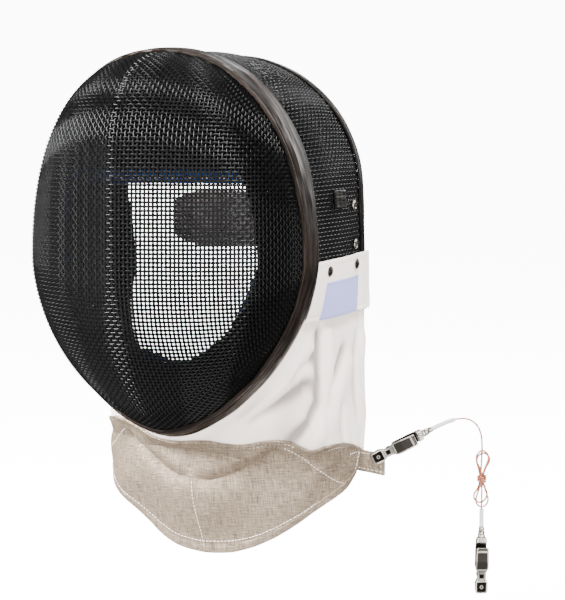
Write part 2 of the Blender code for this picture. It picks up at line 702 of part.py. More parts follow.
def make_clip(word, tip, along, face):
    """Crocodile clip: body, lever on a pin, and crimped tail."""
    body = clip_shape(f"{word}_body", BODY_OUTLINE, tip, along, face, "nickel")
    lever = clip_shape(f"{word}_lever", LEVER_OUTLINE, tip, along, face, "nickel")
    pivot = tip + along * CLIP_PIVOT
    put_origin(lever, pivot)
    put_origin(body, tip)
    across = np.cross(along, face)
    half = CLIP_WIDTH * 0.40
    turned(f"{word}_pin", pivot, across, [(0.0009, -half), (0.0009, half)], "nickel")
    turned(f"{word}_tail", tip, along, [(0.0027, CLIP_BODY + GAP), (0.0027, CLIP_LENGTH - 0.003),
                                        (0.0021, CLIP_LENGTH)], "nickel")


def tube(name, points, diameter, finish):
    """A cord's plain solid: a curve with a round bevel and closed ends."""
    curve = bpy.data.curves.new(name, "CURVE")
    curve.dimensions = "3D"
    spline = curve.splines.new("POLY")
    spline.points.add(len(points) - 1)
    for target, place in zip(spline.points, points):
        target.co = (*map(float, place), 1.0)
    curve.bevel_depth = diameter / 2
    curve.bevel_resolution = 2
    curve.use_fill_caps = True
    made = bpy.data.objects.new(name, curve)
    bpy.context.collection.objects.link(made)
    curve.materials.append(bpy.data.materials[finish])
    return made


# Route of the lead from clip A's tail, in the upright plane of the tab's face:
# (out along CLIP_DIRECTION, up) in millimetres from the tail's end.
LEAD_ROUTE = ((0.0, 0.0), (4.5, 2.2), (9.0, 4.2), (13.5, 6.0), (18.0, 7.4), (22.5, 8.2),
              (27.0, 8.2), (31.2, 7.0), (34.9, 4.6), (37.7, 1.2), (39.5, -2.8),
              (40.5, -7.0), (40.9, -11.5), (41.0, -16.0))
SLEEVE_A_POINTS = 5         # route points that the clear sleeve covers
SLEEVE_B_LENGTH = 0.014


def smooth_route(points, step):
    """Points a step apart on a smooth curve through a route's points (Catmull-Rom)."""
    points = np.asarray(points, float)
    ends = np.concatenate([[2*points[0] - points[1]], points, [2*points[-1] - points[-2]]])
    fine = []
    for a, b, c, d in zip(ends, ends[1:], ends[2:], ends[3:]):
        for t in np.linspace(0, 1, 12, endpoint=False):
            fine.append(0.5 * (2*b + (c-a)*t + (2*a-5*b+4*c-d)*t*t + (3*b-a-3*c+d)*t**3))
    fine.append(points[-1])
    length = np.linalg.norm(np.diff(fine, axis=0), axis=1).sum()
    return spaced(fine, max(3, round(length / step) + 1))


# The hank of five runs: (share of its length from the top, half width, half thickness)
# in millimetres; its waist is tied.
HANK_FORM = ((0.0, 1.2, 0.9), (0.03, 4.0, 2.0), (0.12, 6.6, 2.4), (0.24, 6.4, 2.4),
             (0.42, 3.6, 2.2), (0.46, 3.4, 2.1), (0.54, 3.4, 2.1), (0.58, 3.6, 2.2),
             (0.78, 6.6, 2.4), (0.90, 7.0, 2.4), (0.97, 4.4, 2.0), (1.0, 1.2, 0.9))


def rounded(centre, across, face, half_width, half_depth, sides=12):
    """A level rounded outline round a centre."""
    turns = np.linspace(0, 2 * pi, sides, endpoint=False)
    return [centre + across * half_width * cos(t) + face * half_depth * sin(t)
            for t in turns]


def make_cord(tail):
    """Sleeves, lead, tied hank and clip B, hanging from clip A's tail."""
    up = np.array([0, 0, 1.0])
    route = np.array([tail + CLIP_DIRECTION * h / 1000 + up * v / 1000
                      for h, v in LEAD_ROUTE])
    route[0] += (route[1] - route[0]) * 0.08
    fine = smooth_route(route, 0.0030)
    split = int(np.argmin(np.linalg.norm(fine - route[SLEEVE_A_POINTS - 1], axis=1)))
    tube("sleeve_a", fine[:split + 1], SLEEVE, "clear_sleeve")
    lead = fine[split:].copy()
    lead[0] += (lead[1] - lead[0]) * 0.13
    tube("cord_lead", lead, WIRE, "copper_wire")
    top = route[-1] - up * GAP
    sections = [rounded(top - up * share * HANK_LENGTH, CLIP_DIRECTION, CLIP_FACE,
                        wide / 1000, deep / 1000) for share, wide, deep in HANK_FORM]
    swept("cord_hank", sections, "copper_wire", closed=False)
    middle = top - up * HANK_LENGTH / 2
    ring = []
    for half_width, half_depth, height in ((0.0038, 0.0025, -1), (0.0052, 0.0039, -1),
                                           (0.0052, 0.0039, 1), (0.0038, 0.0025, 1)):
        ring.append(rounded(middle + up * height * 0.0018, CLIP_DIRECTION, CLIP_FACE,
                            half_width, half_depth))
    swept("cord_tie", np.swapaxes(np.array(ring), 0, 1), "copper_wire", closed=True)
    low = top - up * (HANK_LENGTH + GAP)
    end = low - up * SLEEVE_B_LENGTH
    tube("sleeve_b", np.linspace(low, end, 6), SLEEVE, "clear_sleeve")
    tip = end - up * (GAP + CLIP_LENGTH)
    make_clip("clip_b", tip, up, CLIP_FACE)


def make_clip_and_cord():
    grip = tab_path()[-2] + CLIP_DIRECTION * 0.0005
    tip = np.array([grip[0], grip[1], -0.3168])
    along = CLIP_DIRECTION * cos(CLIP_AXIS_RISE) + np.array([0, 0, sin(CLIP_AXIS_RISE)])
    make_clip("clip_a", tip, along, CLIP_FACE)
    make_cord(tip + along * CLIP_LENGTH)


# ---------------------------------------------------------------- build
def main():
    clear_scene()
    finishes()
    make_face_mesh()
    make_front_trim()
    make_crown()
    make_rear_trim()
    make_forehead_pad()
    make_face_pad()
    make_crown_liner()
    make_bib()
    make_label()
    make_back_strap()
    for word, side in (("left", 1), ("right", -1)):
        make_side_tab(f"side_tab_{word}", side)
        make_studs(word, side)
        make_side_patch(f"side_patch_{word}", side)
    make_contact_tab()
    make_clip_and_cord()


main()
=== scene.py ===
"""Looks of a foil fencing mask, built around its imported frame.

Metres, +Z up. The mask faces -Y and the wearer's left is +X. Every piece is made in its
place, with its object at the origin.
"""
from math import cos, pi, radians, sin, tau

import bpy
import numpy as np
from bpy.props import FloatProperty, FloatVectorProperty, IntProperty, PointerProperty
from mathutils import Matrix, Vector


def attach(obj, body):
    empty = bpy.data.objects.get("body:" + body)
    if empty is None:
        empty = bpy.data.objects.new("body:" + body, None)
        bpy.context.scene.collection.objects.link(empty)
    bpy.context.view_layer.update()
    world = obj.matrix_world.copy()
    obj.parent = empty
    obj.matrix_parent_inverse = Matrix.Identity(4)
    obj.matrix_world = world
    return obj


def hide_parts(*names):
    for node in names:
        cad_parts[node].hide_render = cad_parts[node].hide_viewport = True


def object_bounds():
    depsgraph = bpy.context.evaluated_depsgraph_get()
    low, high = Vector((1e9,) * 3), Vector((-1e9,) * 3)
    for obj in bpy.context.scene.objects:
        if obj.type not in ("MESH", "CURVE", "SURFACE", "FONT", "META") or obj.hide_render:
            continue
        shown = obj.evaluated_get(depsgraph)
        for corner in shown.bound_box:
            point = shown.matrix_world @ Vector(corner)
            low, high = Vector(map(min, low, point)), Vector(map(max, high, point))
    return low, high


bl_info = {
    "name": "Foil Mask Workshop",
    "version": (1, 0, 0),
    "blender": (4, 5, 0),
    "location": "3D View > Sidebar > Mask",
    "description": "Makes a foil fencing mask of woven wire, leather cloth and lame",
    "category": "Object",
}

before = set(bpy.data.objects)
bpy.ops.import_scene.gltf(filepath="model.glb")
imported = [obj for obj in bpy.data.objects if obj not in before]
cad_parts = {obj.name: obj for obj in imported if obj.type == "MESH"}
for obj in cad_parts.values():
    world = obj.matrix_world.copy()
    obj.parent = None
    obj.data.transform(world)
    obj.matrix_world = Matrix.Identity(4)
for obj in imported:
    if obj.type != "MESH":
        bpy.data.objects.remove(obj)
CAD_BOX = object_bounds()
MM = 0.001

# ---- sizes of the mask
GAP = 0.0004                           # between two pieces that lie on each other
TOP_Y, TOP_Z = -0.060, 0.0120          # top centre of the seam between dome and crown
TRIM_HALF_WIDTH, TRIM_RISE, TRIM_DROP = 0.116, 0.1605, 0.136
TRIM_UPPER_POWER, TRIM_LOWER_POWER = 2.2, 1.66     # squareness above and below the middle
TRIM_SWEEP = 0.012                     # how far the seam's sides lie behind its top
TRIM_FRONT, TRIM_REAR, TRIM_SEAT = 0.014, 0.011, 0.0008
TRIM_SPREAD = 0.008                    # how much wider its rear half is over the top
DOME_DEPTH, DOME_KEEL, DOME_RIDGE = 0.089, 0.50, 0.008
MESH_WALL = 0.0020
RIM_HALF_WIDTH, RIM_BEHIND, RIM_BELOW = 0.110, 0.114, 0.002
RIM_ARCH, RIM_LEAN = 0.104, 0.065
CROWN_BULGE, CROWN_FLAT, CROWN_DROP = 0.003, 0.14, 0.205
CROWN_RUN = 0.112                      # mean way from the seam to the rim
CENTRE_Z = TOP_Z - TRIM_RISE
RIM_Y = TOP_Y + RIM_BEHIND
RIM_TOP_Z = TOP_Z - RIM_BELOW
RIM_SPRING_Z = RIM_TOP_Z - RIM_ARCH
CROWN_LOW_Z = TOP_Z - CROWN_DROP
PAD_WALL, PAD_INSET = 0.008, 0.965
FACE_PAD_SEAT = MESH_WALL + 2 * GAP + 0.0006
FOREHEAD_LOW_Z = TOP_Z - 0.0975
CLOTH_WALL, LAME_WALL = 0.0018, 0.0016
UNDER_TRIM = 0.0035                    # how far the dome's wires run on under the trim
WIRES_OUT = 0.0009                     # how far the wires stand out of the mesh's surface
LINING = 0.0005                        # thickness of the black linings
CROWN_LINING_IN, FACE_LINING_IN = 0.0026, 0.0027   # how far inside the wires they lie
BIB_LINING_IN = (0.0011, 0.0004)       # the bib lining's two faces, inside the white cloth

BIB_HALF_WIDTH, BIB_REAR_SHIFT, BIB_CORNER = 0.1055, 0.008, 0.71
BIB_WAIST, BIB_TILT, BIB_TAKEN_IN = 0.10, 0.05, 0.07
BIB_POWER, BIB_SIDE_RUN = 2.15, 0.050  # squareness of its front; straight run of its sides
BIB_TOP_CORNER = 0.56                  # share at which its top leaves the trim for the crown
BIB_REAR_IN = 0.009                    # how far its rear lower corners are drawn forward
BIB_SPAN = (0.215, 0.105)              # metres for a share of 1 and for a fall of 1
SEAM_DROP, SEAM_REAR_DROP = 0.3130, 0.3175
HEM_DROP, HEM_RISE, HEM_ROUND = 0.401, 0.068, 0.15
LAME_TOP = (  # side (+ is the wearer's left), fall of the lame's top edge
    (-0.92, 0.97), (-0.72, 0.93), (-0.56, 0.87), (-0.44, 0.78), (-0.353, 0.70),
    (-0.267, 0.66), (-0.167, 0.60), (-0.098, 0.57), (0.037, 0.52), (0.115, 0.60),
    (0.162, 0.68), (0.233, 0.74), (0.325, 0.76), (0.39, 0.80), (0.43, 0.86),
    (0.508, 0.91), (0.655, 0.905), (0.80, 0.925), (0.92, 0.98),
)
LAME_HEM = (  # share, fall of the lame's hem
    (0.0, 2.0), (0.1, 1.988), (0.18, 1.955), (0.27, 1.90), (0.36, 1.835),
    (0.477, 1.755), (0.593, 1.70), (0.68, 1.66), (0.73, 1.63), (0.78, 1.575),
    (0.817, 1.52),
)
LAME_REAR = (0.922, 0.822)             # share of the lame's rear edge, top and bottom
CREASES = (  # (share, fall) along the valley; its depth and width; the ridge behind it:
    # height and distance, in millimetres
    (((0.690, 0.02), (0.672, 0.25), (0.650, 0.45), (0.625, 0.60), (0.560, 0.735),
      (0.490, 0.80), (0.405, 0.88)), 6.0, 3.2, 4.6, 10.0),
    (((0.880, 0.20), (0.790, 0.40), (0.700, 0.54), (0.655, 0.67), (0.620, 0.82)),
     4.6, 4.0, 3.8, 11.0),
    (((0.640, 0.44), (0.545, 0.475), (0.450, 0.45), (0.350, 0.43), (0.26, 0.46)),
     4.0, 4.2, 3.0, -12.0),
    (((0.665, 0.25), (0.600, 0.315), (0.545, 0.355), (0.490, 0.38)), 3.0, 3.0, 1.8, -8.0),
    (((0.965, 0.10), (0.930, 0.35), (0.925, 0.60), (0.935, 0.85)), 2.4, 3.0, 2.2, 8.0),
    (((0.800, 0.62), (0.770, 0.78), (0.760, 0.95)), 2.2, 3.6, 1.8, 8.0),
)
# The smile-shaped fold across the lame, given as one of the creases
SMILE = (((0.0, 1.285), (0.052, 1.285), (0.10, 1.245), (0.165, 1.165), (0.25, 1.05),
          (0.36, 0.88)), 5.0, 4.0, 3.2, 11.0)
FRONT_PROFILE = (  # depth below the trim's top, distance behind the trim's plane
    (0.296, 0.014), (0.303, 0.028), (0.313, 0.039), (0.346, 0.038),
    (0.365, 0.046), (0.385, 0.057), (0.401, 0.061),
)

STRAP_HEIGHT, STRAP_WALL, STRAP_MID_Z = 0.044, 0.0022, -0.1235
STRAP_BOW, STRAP_END_TURN = 0.024, radians(133)

TAB_TOP_Z, TAB_LOW_Z, TAB_SLOPE, TAB_CORNER = -0.148, -0.199, 0.004, 0.0075
TAB_FRONT, TAB_END = 0.125, 1.02       # shares of the way from the seam to the rim
LABEL_TOP_Z, LABEL_LOW_Z, LABEL_WALL = -0.1645, -0.1930, 0.0007
LABEL_FRONT, LABEL_END = 0.275, 0.80
HEM_WIDTH = 0.0062
CHEEK_EDGE = (  # direction from the top in degrees, share at which the cheek pad starts
    (68, 0.93), (80, 0.90), (90, 0.865), (100, 0.838), (112, 0.824), (122, 0.822),
    (132, 0.806), (142, 0.742), (146, 0.695), (150, 0.635), (153, 0.575), (158, 0.53),
    (168, 0.505), (180, 0.50),
)
OVER_RIM = 0.0019                      # how far the tabs are lifted over the rear trim
PAD_STITCHES = {"Pitch": 0.0042, "Stitch": 0.0024, "Thread": 0.0009}
LABEL_STITCHES = {"Pitch": 0.0022, "Stitch": 0.0015, "Thread": 0.0004}
ROLL_LOW_Z, ROLL_TOP_Z, ROLL_HEIGHT = -0.195, -0.098, 0.0115


# ---- sizes and colours to change
def linear(code):
    """An sRGB hex colour as linear values, with full alpha."""
    parts = [int(code[k:k + 2], 16) / 255 for k in (1, 3, 5)]
    return tuple(c / 12.92 if c <= 0.04045 else ((c + 0.055) / 1.055) ** 2.4
                 for c in parts) + (1.0,)


def length(name, text, value):
    """A length that the panel shows."""
    return FloatProperty(name=name, description=text, default=value, min=0.0,
                         unit="LENGTH", subtype="DISTANCE", precision=5)


def colour(name, text, code):
    """A colour that the panel shows."""
    return FloatVectorProperty(name=name, description=text, default=linear(code)[:3],
                               subtype="COLOR", size=3, min=0.0, max=1.0)


class MaskSizes(bpy.types.PropertyGroup):
    """Sizes of the small repeated detail."""
    pitch: length("Wire pitch", "Distance between neighbouring wires", 0.0032)
    wire: length("Face wire", "Diameter of the wire of the face", 0.0021)
    crown_wire: length("Crown wire", "Diameter of the wire of the crown", 0.0013)
    stitch: length("Stitch length", "Length of one visible stitch", 0.0026)
    thread: length("Thread diameter", "Diameter of the sewing thread", 0.00055)
    cord: length("Cord diameter", "Outer diameter of the mask cord", 0.0015)
    sides: IntProperty(name="Wire sides", default=6, min=4, max=12,
                       description="Number of sides of each wire")


class MaskColours(bpy.types.PropertyGroup):
    """Colours of the finishes."""
    enamel: colour("Wire enamel", "Black enamel of the woven wire", "#060606")
    trim: colour("Trim", "Leather cloth of the front trim", "#100c0a")
    binding: colour("Binding", "Folded binding of the rear rim", "#090807")
    cloth: colour("White cloth", "Cloth of the bib and side tabs", "#fff0e7")
    lame: colour("Lame", "Conductive cloth of the lower bib", "#837361")
    padding: colour("Padding", "Navy band of the pads", "#3c5cb4")
    strap: colour("Strap", "Webbing of the back strap", "#d6ccce")
    label: colour("Label", "Bare woven label", "#a6a8e2")
    nickel: colour("Nickel", "Plating of clips and rivets", "#a39d94")
    copper: colour("Copper", "Strands seen through the cord's insulation", "#ac6444")


# ---- numbers and lines
def smoothstep(value):
    """A soft ramp from 0 to 1."""
    value = np.clip(value, 0.0, 1.0)
    return value * value * (3.0 - 2.0 * value)


def hump(value, width):
    """A soft hump of height 1 where a value is nought."""
    return np.exp(-(value / width) ** 2)


def turns_of(count):
    """Evenly spaced angles all the way round."""
    return np.linspace(0, tau, count, endpoint=False)


def unit(vectors):
    """Vectors of length 1."""
    size = np.linalg.norm(vectors, axis=-1, keepdims=True)
    return vectors / np.maximum(size, 1e-12)


def run_of(line):
    """Distance from a line's start to each of its points."""
    steps = np.linalg.norm(np.diff(line, axis=0), axis=1)
    return np.concatenate([[0.0], np.cumsum(steps)])


def between(at, known, values):
    """Points or directions at new places between known ones."""
    return np.stack([np.interp(at, known, values[:, k]) for k in range(3)], axis=1)


def places_along(line, at):
    """Points of a line at given distances from its start."""
    return between(at, run_of(line), line)


def spaced(line, count):
    """The same line with a given number of points, evenly spaced along it."""
    line = np.asarray(line, float)
    return places_along(line, np.linspace(0.0, run_of(line)[-1], count))


def smooth_route(points, step):
    """Points a step apart on a smooth curve through a route's points."""
    points = np.asarray(points, float)
    ends = np.concatenate([[2 * points[0] - points[1]], points,
                           [2 * points[-1] - points[-2]]])
    fine = []
    for a, b, c, d in zip(ends, ends[1:], ends[2:], ends[3:]):
        for t in np.linspace(0, 1, 12, endpoint=False):
            fine.append(0.5 * (2*b + (c-a)*t + (2*a-5*b+4*c-d)*t*t
                               + (3*b-a-3*c+d)*t**3))
    fine.append(points[-1])
    return spaced(fine, max(3, round(run_of(np.array(fine))[-1] / step) + 1))


def normals(grid, wrap=False):
    """Unit normals of a grid of points: across the columns crossed with down the rows."""
    if wrap:
        along = np.roll(grid, -1, axis=1) - np.roll(grid, 1, axis=1)
    else:
        along = np.gradient(grid, axis=1)
    return unit(np.cross(along, np.gradient(grid, axis=0)))


def outside(grid, wrap=False):
    """Normals of a grid, all on the side away from the middle of the head."""
    normal = normals(grid, wrap)
    middle = np.array([0.0, RIM_Y / 2, CENTRE_Z])
    return normal * (1 if ((grid - middle) * normal).sum() > 0 else -1)


def ripple(seed, count, low, high):
    """A smooth random function of one length, between -1 and 1."""
    draw = np.random.default_rng(seed)
    waves = tau / draw.uniform(low, high, count)
    phases = draw.uniform(0, tau, count)

    def value(at):
        at = np.asarray(at, float)[..., None]
        return np.sin(at * waves + phases).sum(axis=-1) / np.sqrt(count) * 0.8
    return value


# ---- the mask's main forms
def trim_line(angle):
    """Seam between dome and crown; angle 0 at the top, pi at the chin, + to the left."""
    angle = np.asarray(angle, float)
    up, side = np.cos(angle), np.sin(angle)
    power = np.where(up >= 0, TRIM_UPPER_POWER, TRIM_LOWER_POWER)
    height = np.where(up >= 0, TRIM_RISE, TRIM_DROP)
    x = TRIM_HALF_WIDTH * np.sign(side) * np.abs(side) ** (2 / power)
    z = CENTRE_Z + height * np.sign(up) * np.abs(up) ** (2 / power)
    return np.stack([x, TOP_Y + TRIM_SWEEP * side ** 2, z], axis=-1)


def dome_powers(up, down):
    """How flat the dome's middle is and how full its shoulder, by direction."""
    side = 1 - up - down
    return 4.6 * up + 5.0 * side + 2.2 * down, 2.1 * up + 2.6 * side + 1.4 * down


def powers_at(angle):
    """The dome's powers in the direction of an angle from the top."""
    return dome_powers(np.clip(np.cos(angle), 0, 1) ** 2, np.clip(-np.cos(angle), 0, 1) ** 2)


def dome_keel(x):
    """Share of the depth that the dome loses away from its ridge."""
    soft = DOME_RIDGE / TRIM_HALF_WIDTH
    return DOME_KEEL * (np.sqrt((x / TRIM_HALF_WIDTH) ** 2 + soft ** 2) - soft)


def dome_point(angle, share):
    """The dome's outer surface; share 0 at its middle, 1 at the trim line."""
    angle, share = np.broadcast_arrays(np.asarray(angle, float), np.asarray(share, float))
    edge = trim_line(angle)
    x = edge[..., 0] * share
    z = CENTRE_Z + (edge[..., 2] - CENTRE_Z) * share
    flatness, shoulder = powers_at(angle)
    rise = (1 - dome_keel(x)) * (1 - np.clip(share, 0, 1) ** flatness) ** (1 / shoulder)
    sweep = (edge[..., 1] - TOP_Y) * share ** 4 * (1 - rise)
    return np.stack([x, TOP_Y + sweep - DOME_DEPTH * rise, z], axis=-1)


def dome_share(x, z):
    """Share and direction on the dome over a place on the trim's plane."""
    upper = z >= CENTRE_Z
    height = np.where(upper, TRIM_RISE, TRIM_DROP)
    power = np.where(upper, TRIM_UPPER_POWER, TRIM_LOWER_POWER)
    wide, tall = np.abs(x) / TRIM_HALF_WIDTH, np.abs(z - CENTRE_Z) / height
    share = np.maximum((wide ** power + tall ** power) ** (1 / power), 1e-6)
    return share, (tall / share) ** power, upper


def dome_at(x, z):
    """The dome's outer surface over a place on the trim's plane."""
    share, upright, upper = dome_share(x, z)
    up = np.where(upper, 1, -1) * np.sqrt(np.clip(upright, 0, 1))
    return dome_point(np.sign(x) * np.arccos(np.clip(up, -1, 1)), share)


def dome_field(point):
    """Nought on the dome's surface and on the straight wall behind it."""
    x, y, z = np.moveaxis(point, -1, 0)
    share, upright, upper = dome_share(x, z)
    flatness, shoulder = dome_powers(upright * upper, upright * ~upper)
    sweep = TRIM_SWEEP * (1 - upright) * share ** 4
    rise = (TOP_Y + sweep - y) / (sweep + DOME_DEPTH) / (1 - dome_keel(x))
    return share ** flatness + np.clip(rise, 0, None) ** shoulder - 1


def side_angle(level):
    """Angle at which the seam's lower half comes down to a level."""
    angles = np.linspace(pi / 2, pi, 2000)
    return float(angles[np.argmax(trim_line(angles)[:, 2] < level)])


def rim_line(count):
    """The rear rim from its lower left end over the top to its lower right end."""
    turn = np.linspace(pi / 2, -pi / 2, 120)
    arch = np.stack([RIM_HALF_WIDTH * np.sin(turn), np.zeros(120),
                     RIM_SPRING_Z + RIM_ARCH * np.cos(turn)], axis=1)
    leg = np.linspace(CROWN_LOW_Z, RIM_SPRING_Z, 40, endpoint=False)
    left = np.stack([np.full(40, RIM_HALF_WIDTH), np.zeros(40), leg], axis=1)
    line = np.concatenate([left, arch, (left * [-1, 1, 1])[::-1]])
    line[:, 1] = RIM_Y + RIM_LEAN * (RIM_TOP_Z - line[:, 2])
    return spaced(line, count)


def front_line(count):
    """The crown's front edge, alongside the rim line."""
    low = side_angle(CROWN_LOW_Z)
    return spaced(trim_line(np.linspace(low, -low, 800)), count)


def crown_grid(depths, count):
    """Rows from the seam back to the rim (depths are shares), columns left to right."""
    front, rear = front_line(count), rim_line(count)
    grid = np.stack([front + (rear - front) * depth for depth in depths])
    bulged = np.clip((np.asarray(depths) - CROWN_FLAT) / (1 - CROWN_FLAT), 0, 1)
    swell = (16 * (bulged * (1 - bulged)) ** 2)[:, None, None]
    return grid + outside(grid) * swell * CROWN_BULGE


def side_surface(levels, depths, side):
    """Places on the crown's side and the directions out of it, a row for each level."""
    fine = crown_grid(depths, 301)
    out = outside(fine)
    left = slice(0, 120)
    place, away = (np.stack([between(levels, fine[j, left, 2], values[j, left])
                             for j in range(len(depths))], axis=1) for values in (fine, out))
    mirror = np.array([side, 1, 1])
    return place * mirror, away * mirror


def place_on_side(level, depth, side):
    """One place on the crown's side and the direction out of it."""
    place, out = side_surface([level], [depth - 0.02, depth, depth + 0.02], side)
    return place[0, 1], unit(out[0, 1])


# ---- meshes
def new_object(name, mesh, finish=None):
    """An object at the origin that wears one material."""
    made = bpy.data.objects.new(name, mesh)
    bpy.context.scene.collection.objects.link(made)
    if finish:
        mesh.materials.clear()
        mesh.materials.append(finish)
    return made


def mesh_of(name, points, faces, uv=None, sharp=40):
    """A mesh from points and faces, with its weave map and its shading set."""
    mesh = bpy.data.meshes.new(name)
    mesh.from_pydata([tuple(p) for p in np.asarray(points, float)], [], faces)
    if uv is not None:
        layer = mesh.uv_layers.new(name="weave")
        layer.data.foreach_set("uv", np.asarray(uv, np.float32).ravel())
    mesh.shade_smooth()
    mesh.set_sharp_from_angle(angle=radians(sharp))
    mesh.update()
    return face_outwards(mesh)


def face_outwards(mesh):
    """Turn a closed shape's faces outwards if they all point in."""
    mesh.calc_loop_triangles()
    points = np.zeros(len(mesh.vertices) * 3)
    mesh.vertices.foreach_get("co", points)
    corners = np.zeros(len(mesh.loop_triangles) * 3, np.int32)
    mesh.loop_triangles.foreach_get("vertices", corners)
    a, b, c = np.moveaxis(points.reshape(-1, 3)[corners.reshape(-1, 3)], 1, 0)
    if float((a * np.cross(b, c)).sum()) < 0:
        mesh.flip_normals()
    return mesh


def grid_runs(grid):
    """Lengths in metres across the columns and down the rows, as a map of a grid."""
    across = np.zeros(grid.shape[:2])
    across[:, 1:] = np.cumsum(np.linalg.norm(np.diff(grid, axis=1), axis=2), axis=1)
    across -= across[:, -1:] / 2
    down = np.zeros(grid.shape[:2])
    down[1:] = np.cumsum(np.linalg.norm(np.diff(grid, axis=0), axis=2), axis=0)
    return np.stack([across, down], axis=-1)


def cloth_mesh(name, grid, out, near, far, bead=1.0, runs=None):
    """A closed wall that follows a grid between two distances out, with round edges."""
    near, far = np.broadcast_arrays(near, far)
    near = np.broadcast_to(near[..., None] if near.ndim else near, grid.shape[:2] + (1,))
    far = np.broadcast_to(far[..., None] if far.ndim else far, grid.shape[:2] + (1,))
    rows, columns = grid.shape[:2]
    low, high = grid + out * near, grid + out * far
    # once round the edge, and three beads of points that round it off
    i, j = np.array([(0, j) for j in range(columns)]
                    + [(i, columns - 1) for i in range(1, rows)]
                    + [(rows - 1, j) for j in range(columns - 2, -1, -1)]
                    + [(i, 0) for i in range(rows - 2, 0, -1)]).T
    step_i = np.where(i == 0, 1, np.where(i == rows - 1, -1, 0))
    step_j = np.where(j == 0, 1, np.where(j == columns - 1, -1, 0))
    away = unit(grid[i, j] - grid[i + step_i, j + step_j])
    away = unit(away - out[i, j] * (away * out[i, j]).sum(axis=1, keepdims=True))
    centre = (low[i, j] + high[i, j]) / 2
    half = np.linalg.norm(high[i, j] - low[i, j], axis=1, keepdims=True) / 2
    lift = unit(high[i, j] - low[i, j])
    beads = [centre + lift * half * cos(t) + away * half * bead * sin(t)
             for t in (pi * 0.22, pi * 0.5, pi * 0.78)]
    points = np.concatenate([low.reshape(-1, 3), high.reshape(-1, 3), *beads])
    # the near and the far side of each cell, then the walls round the edge
    size, count = rows * columns, len(i)
    ids = np.arange(size).reshape(rows, columns)
    cells = np.stack([ids[:-1, :-1], ids[1:, :-1], ids[1:, 1:], ids[:-1, 1:]], axis=-1)
    cells = np.stack([cells, size + cells[..., ::-1]], axis=2).reshape(-1, 4)
    rim = ids[i, j]
    levels = [size + rim, *(2 * size + np.arange(3 * count).reshape(3, count)), rim]
    walls = [np.stack([lower, np.roll(lower, -1), np.roll(upper, -1), upper], axis=1)
             for upper, lower in zip(levels, levels[1:])]
    seam = np.stack([rim, np.roll(rim, -1), np.roll(rim, -1), rim], axis=1)
    places = (grid_runs(grid) if runs is None else runs).reshape(-1, 2)
    uv = places[np.concatenate([cells % size, *[seam] * len(walls)])]
    return mesh_of(name, points, np.concatenate([cells, *walls]).tolist(), uv)


def mark_points(mesh, name, values):
    """A value at each point that a finish reads, such as painted shade on metal and the depth of
    a fold that paints shade on cloth.
    """
    mark = mesh.attributes.new(name, "FLOAT", "POINT")
    mark.data.foreach_set("value", np.asarray(values, np.float32))


def ring_mesh(name, sections, closed, sharp):
    """A solid through sections of equal point count, mapped along and round."""
    sections = np.asarray(sections, float)
    count, sides = sections.shape[:2]
    loop = np.concatenate([sections, sections[:, :1]], axis=1)
    turn = np.linalg.norm(np.diff(loop, axis=1), axis=2).mean(axis=0)
    turn = np.concatenate([[0.0], np.cumsum(turn)])
    middle = sections.mean(axis=1)
    if closed:
        middle = np.concatenate([middle, middle[:1]])
    run = run_of(middle)
    faces, uv = [], []
    for i in range(count if closed else count - 1):
        n = (i + 1) % count
        for j in range(sides):
            k = (j + 1) % sides
            faces.append((i*sides + j, i*sides + k, n*sides + k, n*sides + j))
            uv += [(run[i], turn[j]), (run[i], turn[j + 1]),
                   (run[i + 1], turn[j + 1]), (run[i + 1], turn[j])]
    points = sections.reshape(-1, 3)
    if not closed:
        for i, order in ((0, -1), (count - 1, 1)):
            middle_id = len(points)
            points = np.concatenate([points, [sections[i].mean(axis=0)]])
            for j in range(sides):
                k = (j + 1) % sides
                pair = (i*sides + j, i*sides + k)[::order]
                faces.append((*pair, middle_id))
                uv += [(run[i], turn[j])] * 3
    return mesh_of(name, points, faces, uv, sharp)


def lines_mesh(name, lines, outs=(), lifts=()):
    """Loose edges along lines of points, with the way out and a lift at each point."""
    mesh = bpy.data.meshes.new(name)
    edges, start = [], 0
    for line in lines:
        edges += [(start + k, start + k + 1) for k in range(len(line) - 1)]
        start += len(line)
    mesh.from_pydata([tuple(p) for p in np.concatenate(lines)], edges, [])
    if len(outs):
        out = mesh.attributes.new("out", "FLOAT_VECTOR", "POINT")
        out.data.foreach_set("vector", np.concatenate(outs).astype(np.float32).ravel())
        lift = mesh.attributes.new("lift", "FLOAT", "POINT")
        lift.data.foreach_set("value", np.concatenate(lifts).astype(np.float32))
    return mesh


# ---- node trees
TREES = {}


def give(tree, node, **given):
    """Set a node's settings and input values, and link what feeds its inputs.

    An underscore stands for a space in an input's name, or comes before its number. A
    node given as a value feeds the input from its first output.
    """
    for key, value in given.items():
        if hasattr(node, key):
            setattr(node, key, value)
            continue
        fed = node.inputs[int(key[1:]) if key[0] == "_" else key.replace("_", " ")]
        if isinstance(value, bpy.types.Node):
            value = value.outputs[0]
        if isinstance(value, bpy.types.NodeSocket):
            tree.links.new(value, fed)
        else:
            fed.default_value = value
    return node


def add(tree, kind, **given):
    """A new node with its settings, its input values and its links."""
    return give(tree, tree.nodes.new(kind), **given)


def geometry_tree(name, inputs):
    """An empty tree with named inputs for its sizes; returns it and its two end nodes."""
    tree = bpy.data.node_groups.new(name, "GeometryNodeTree")
    tree.interface.new_socket("Geometry", in_out="INPUT", socket_type="NodeSocketGeometry")
    tree.interface.new_socket("Geometry", in_out="OUTPUT", socket_type="NodeSocketGeometry")
    for label, kind in inputs:
        tree.interface.new_socket(label, in_out="INPUT", socket_type=f"NodeSocket{kind}")
    tree.interface.new_socket("Finish", in_out="INPUT", socket_type="NodeSocketMaterial")
    return tree, add(tree, "NodeGroupInput"), add(tree, "NodeGroupOutput")


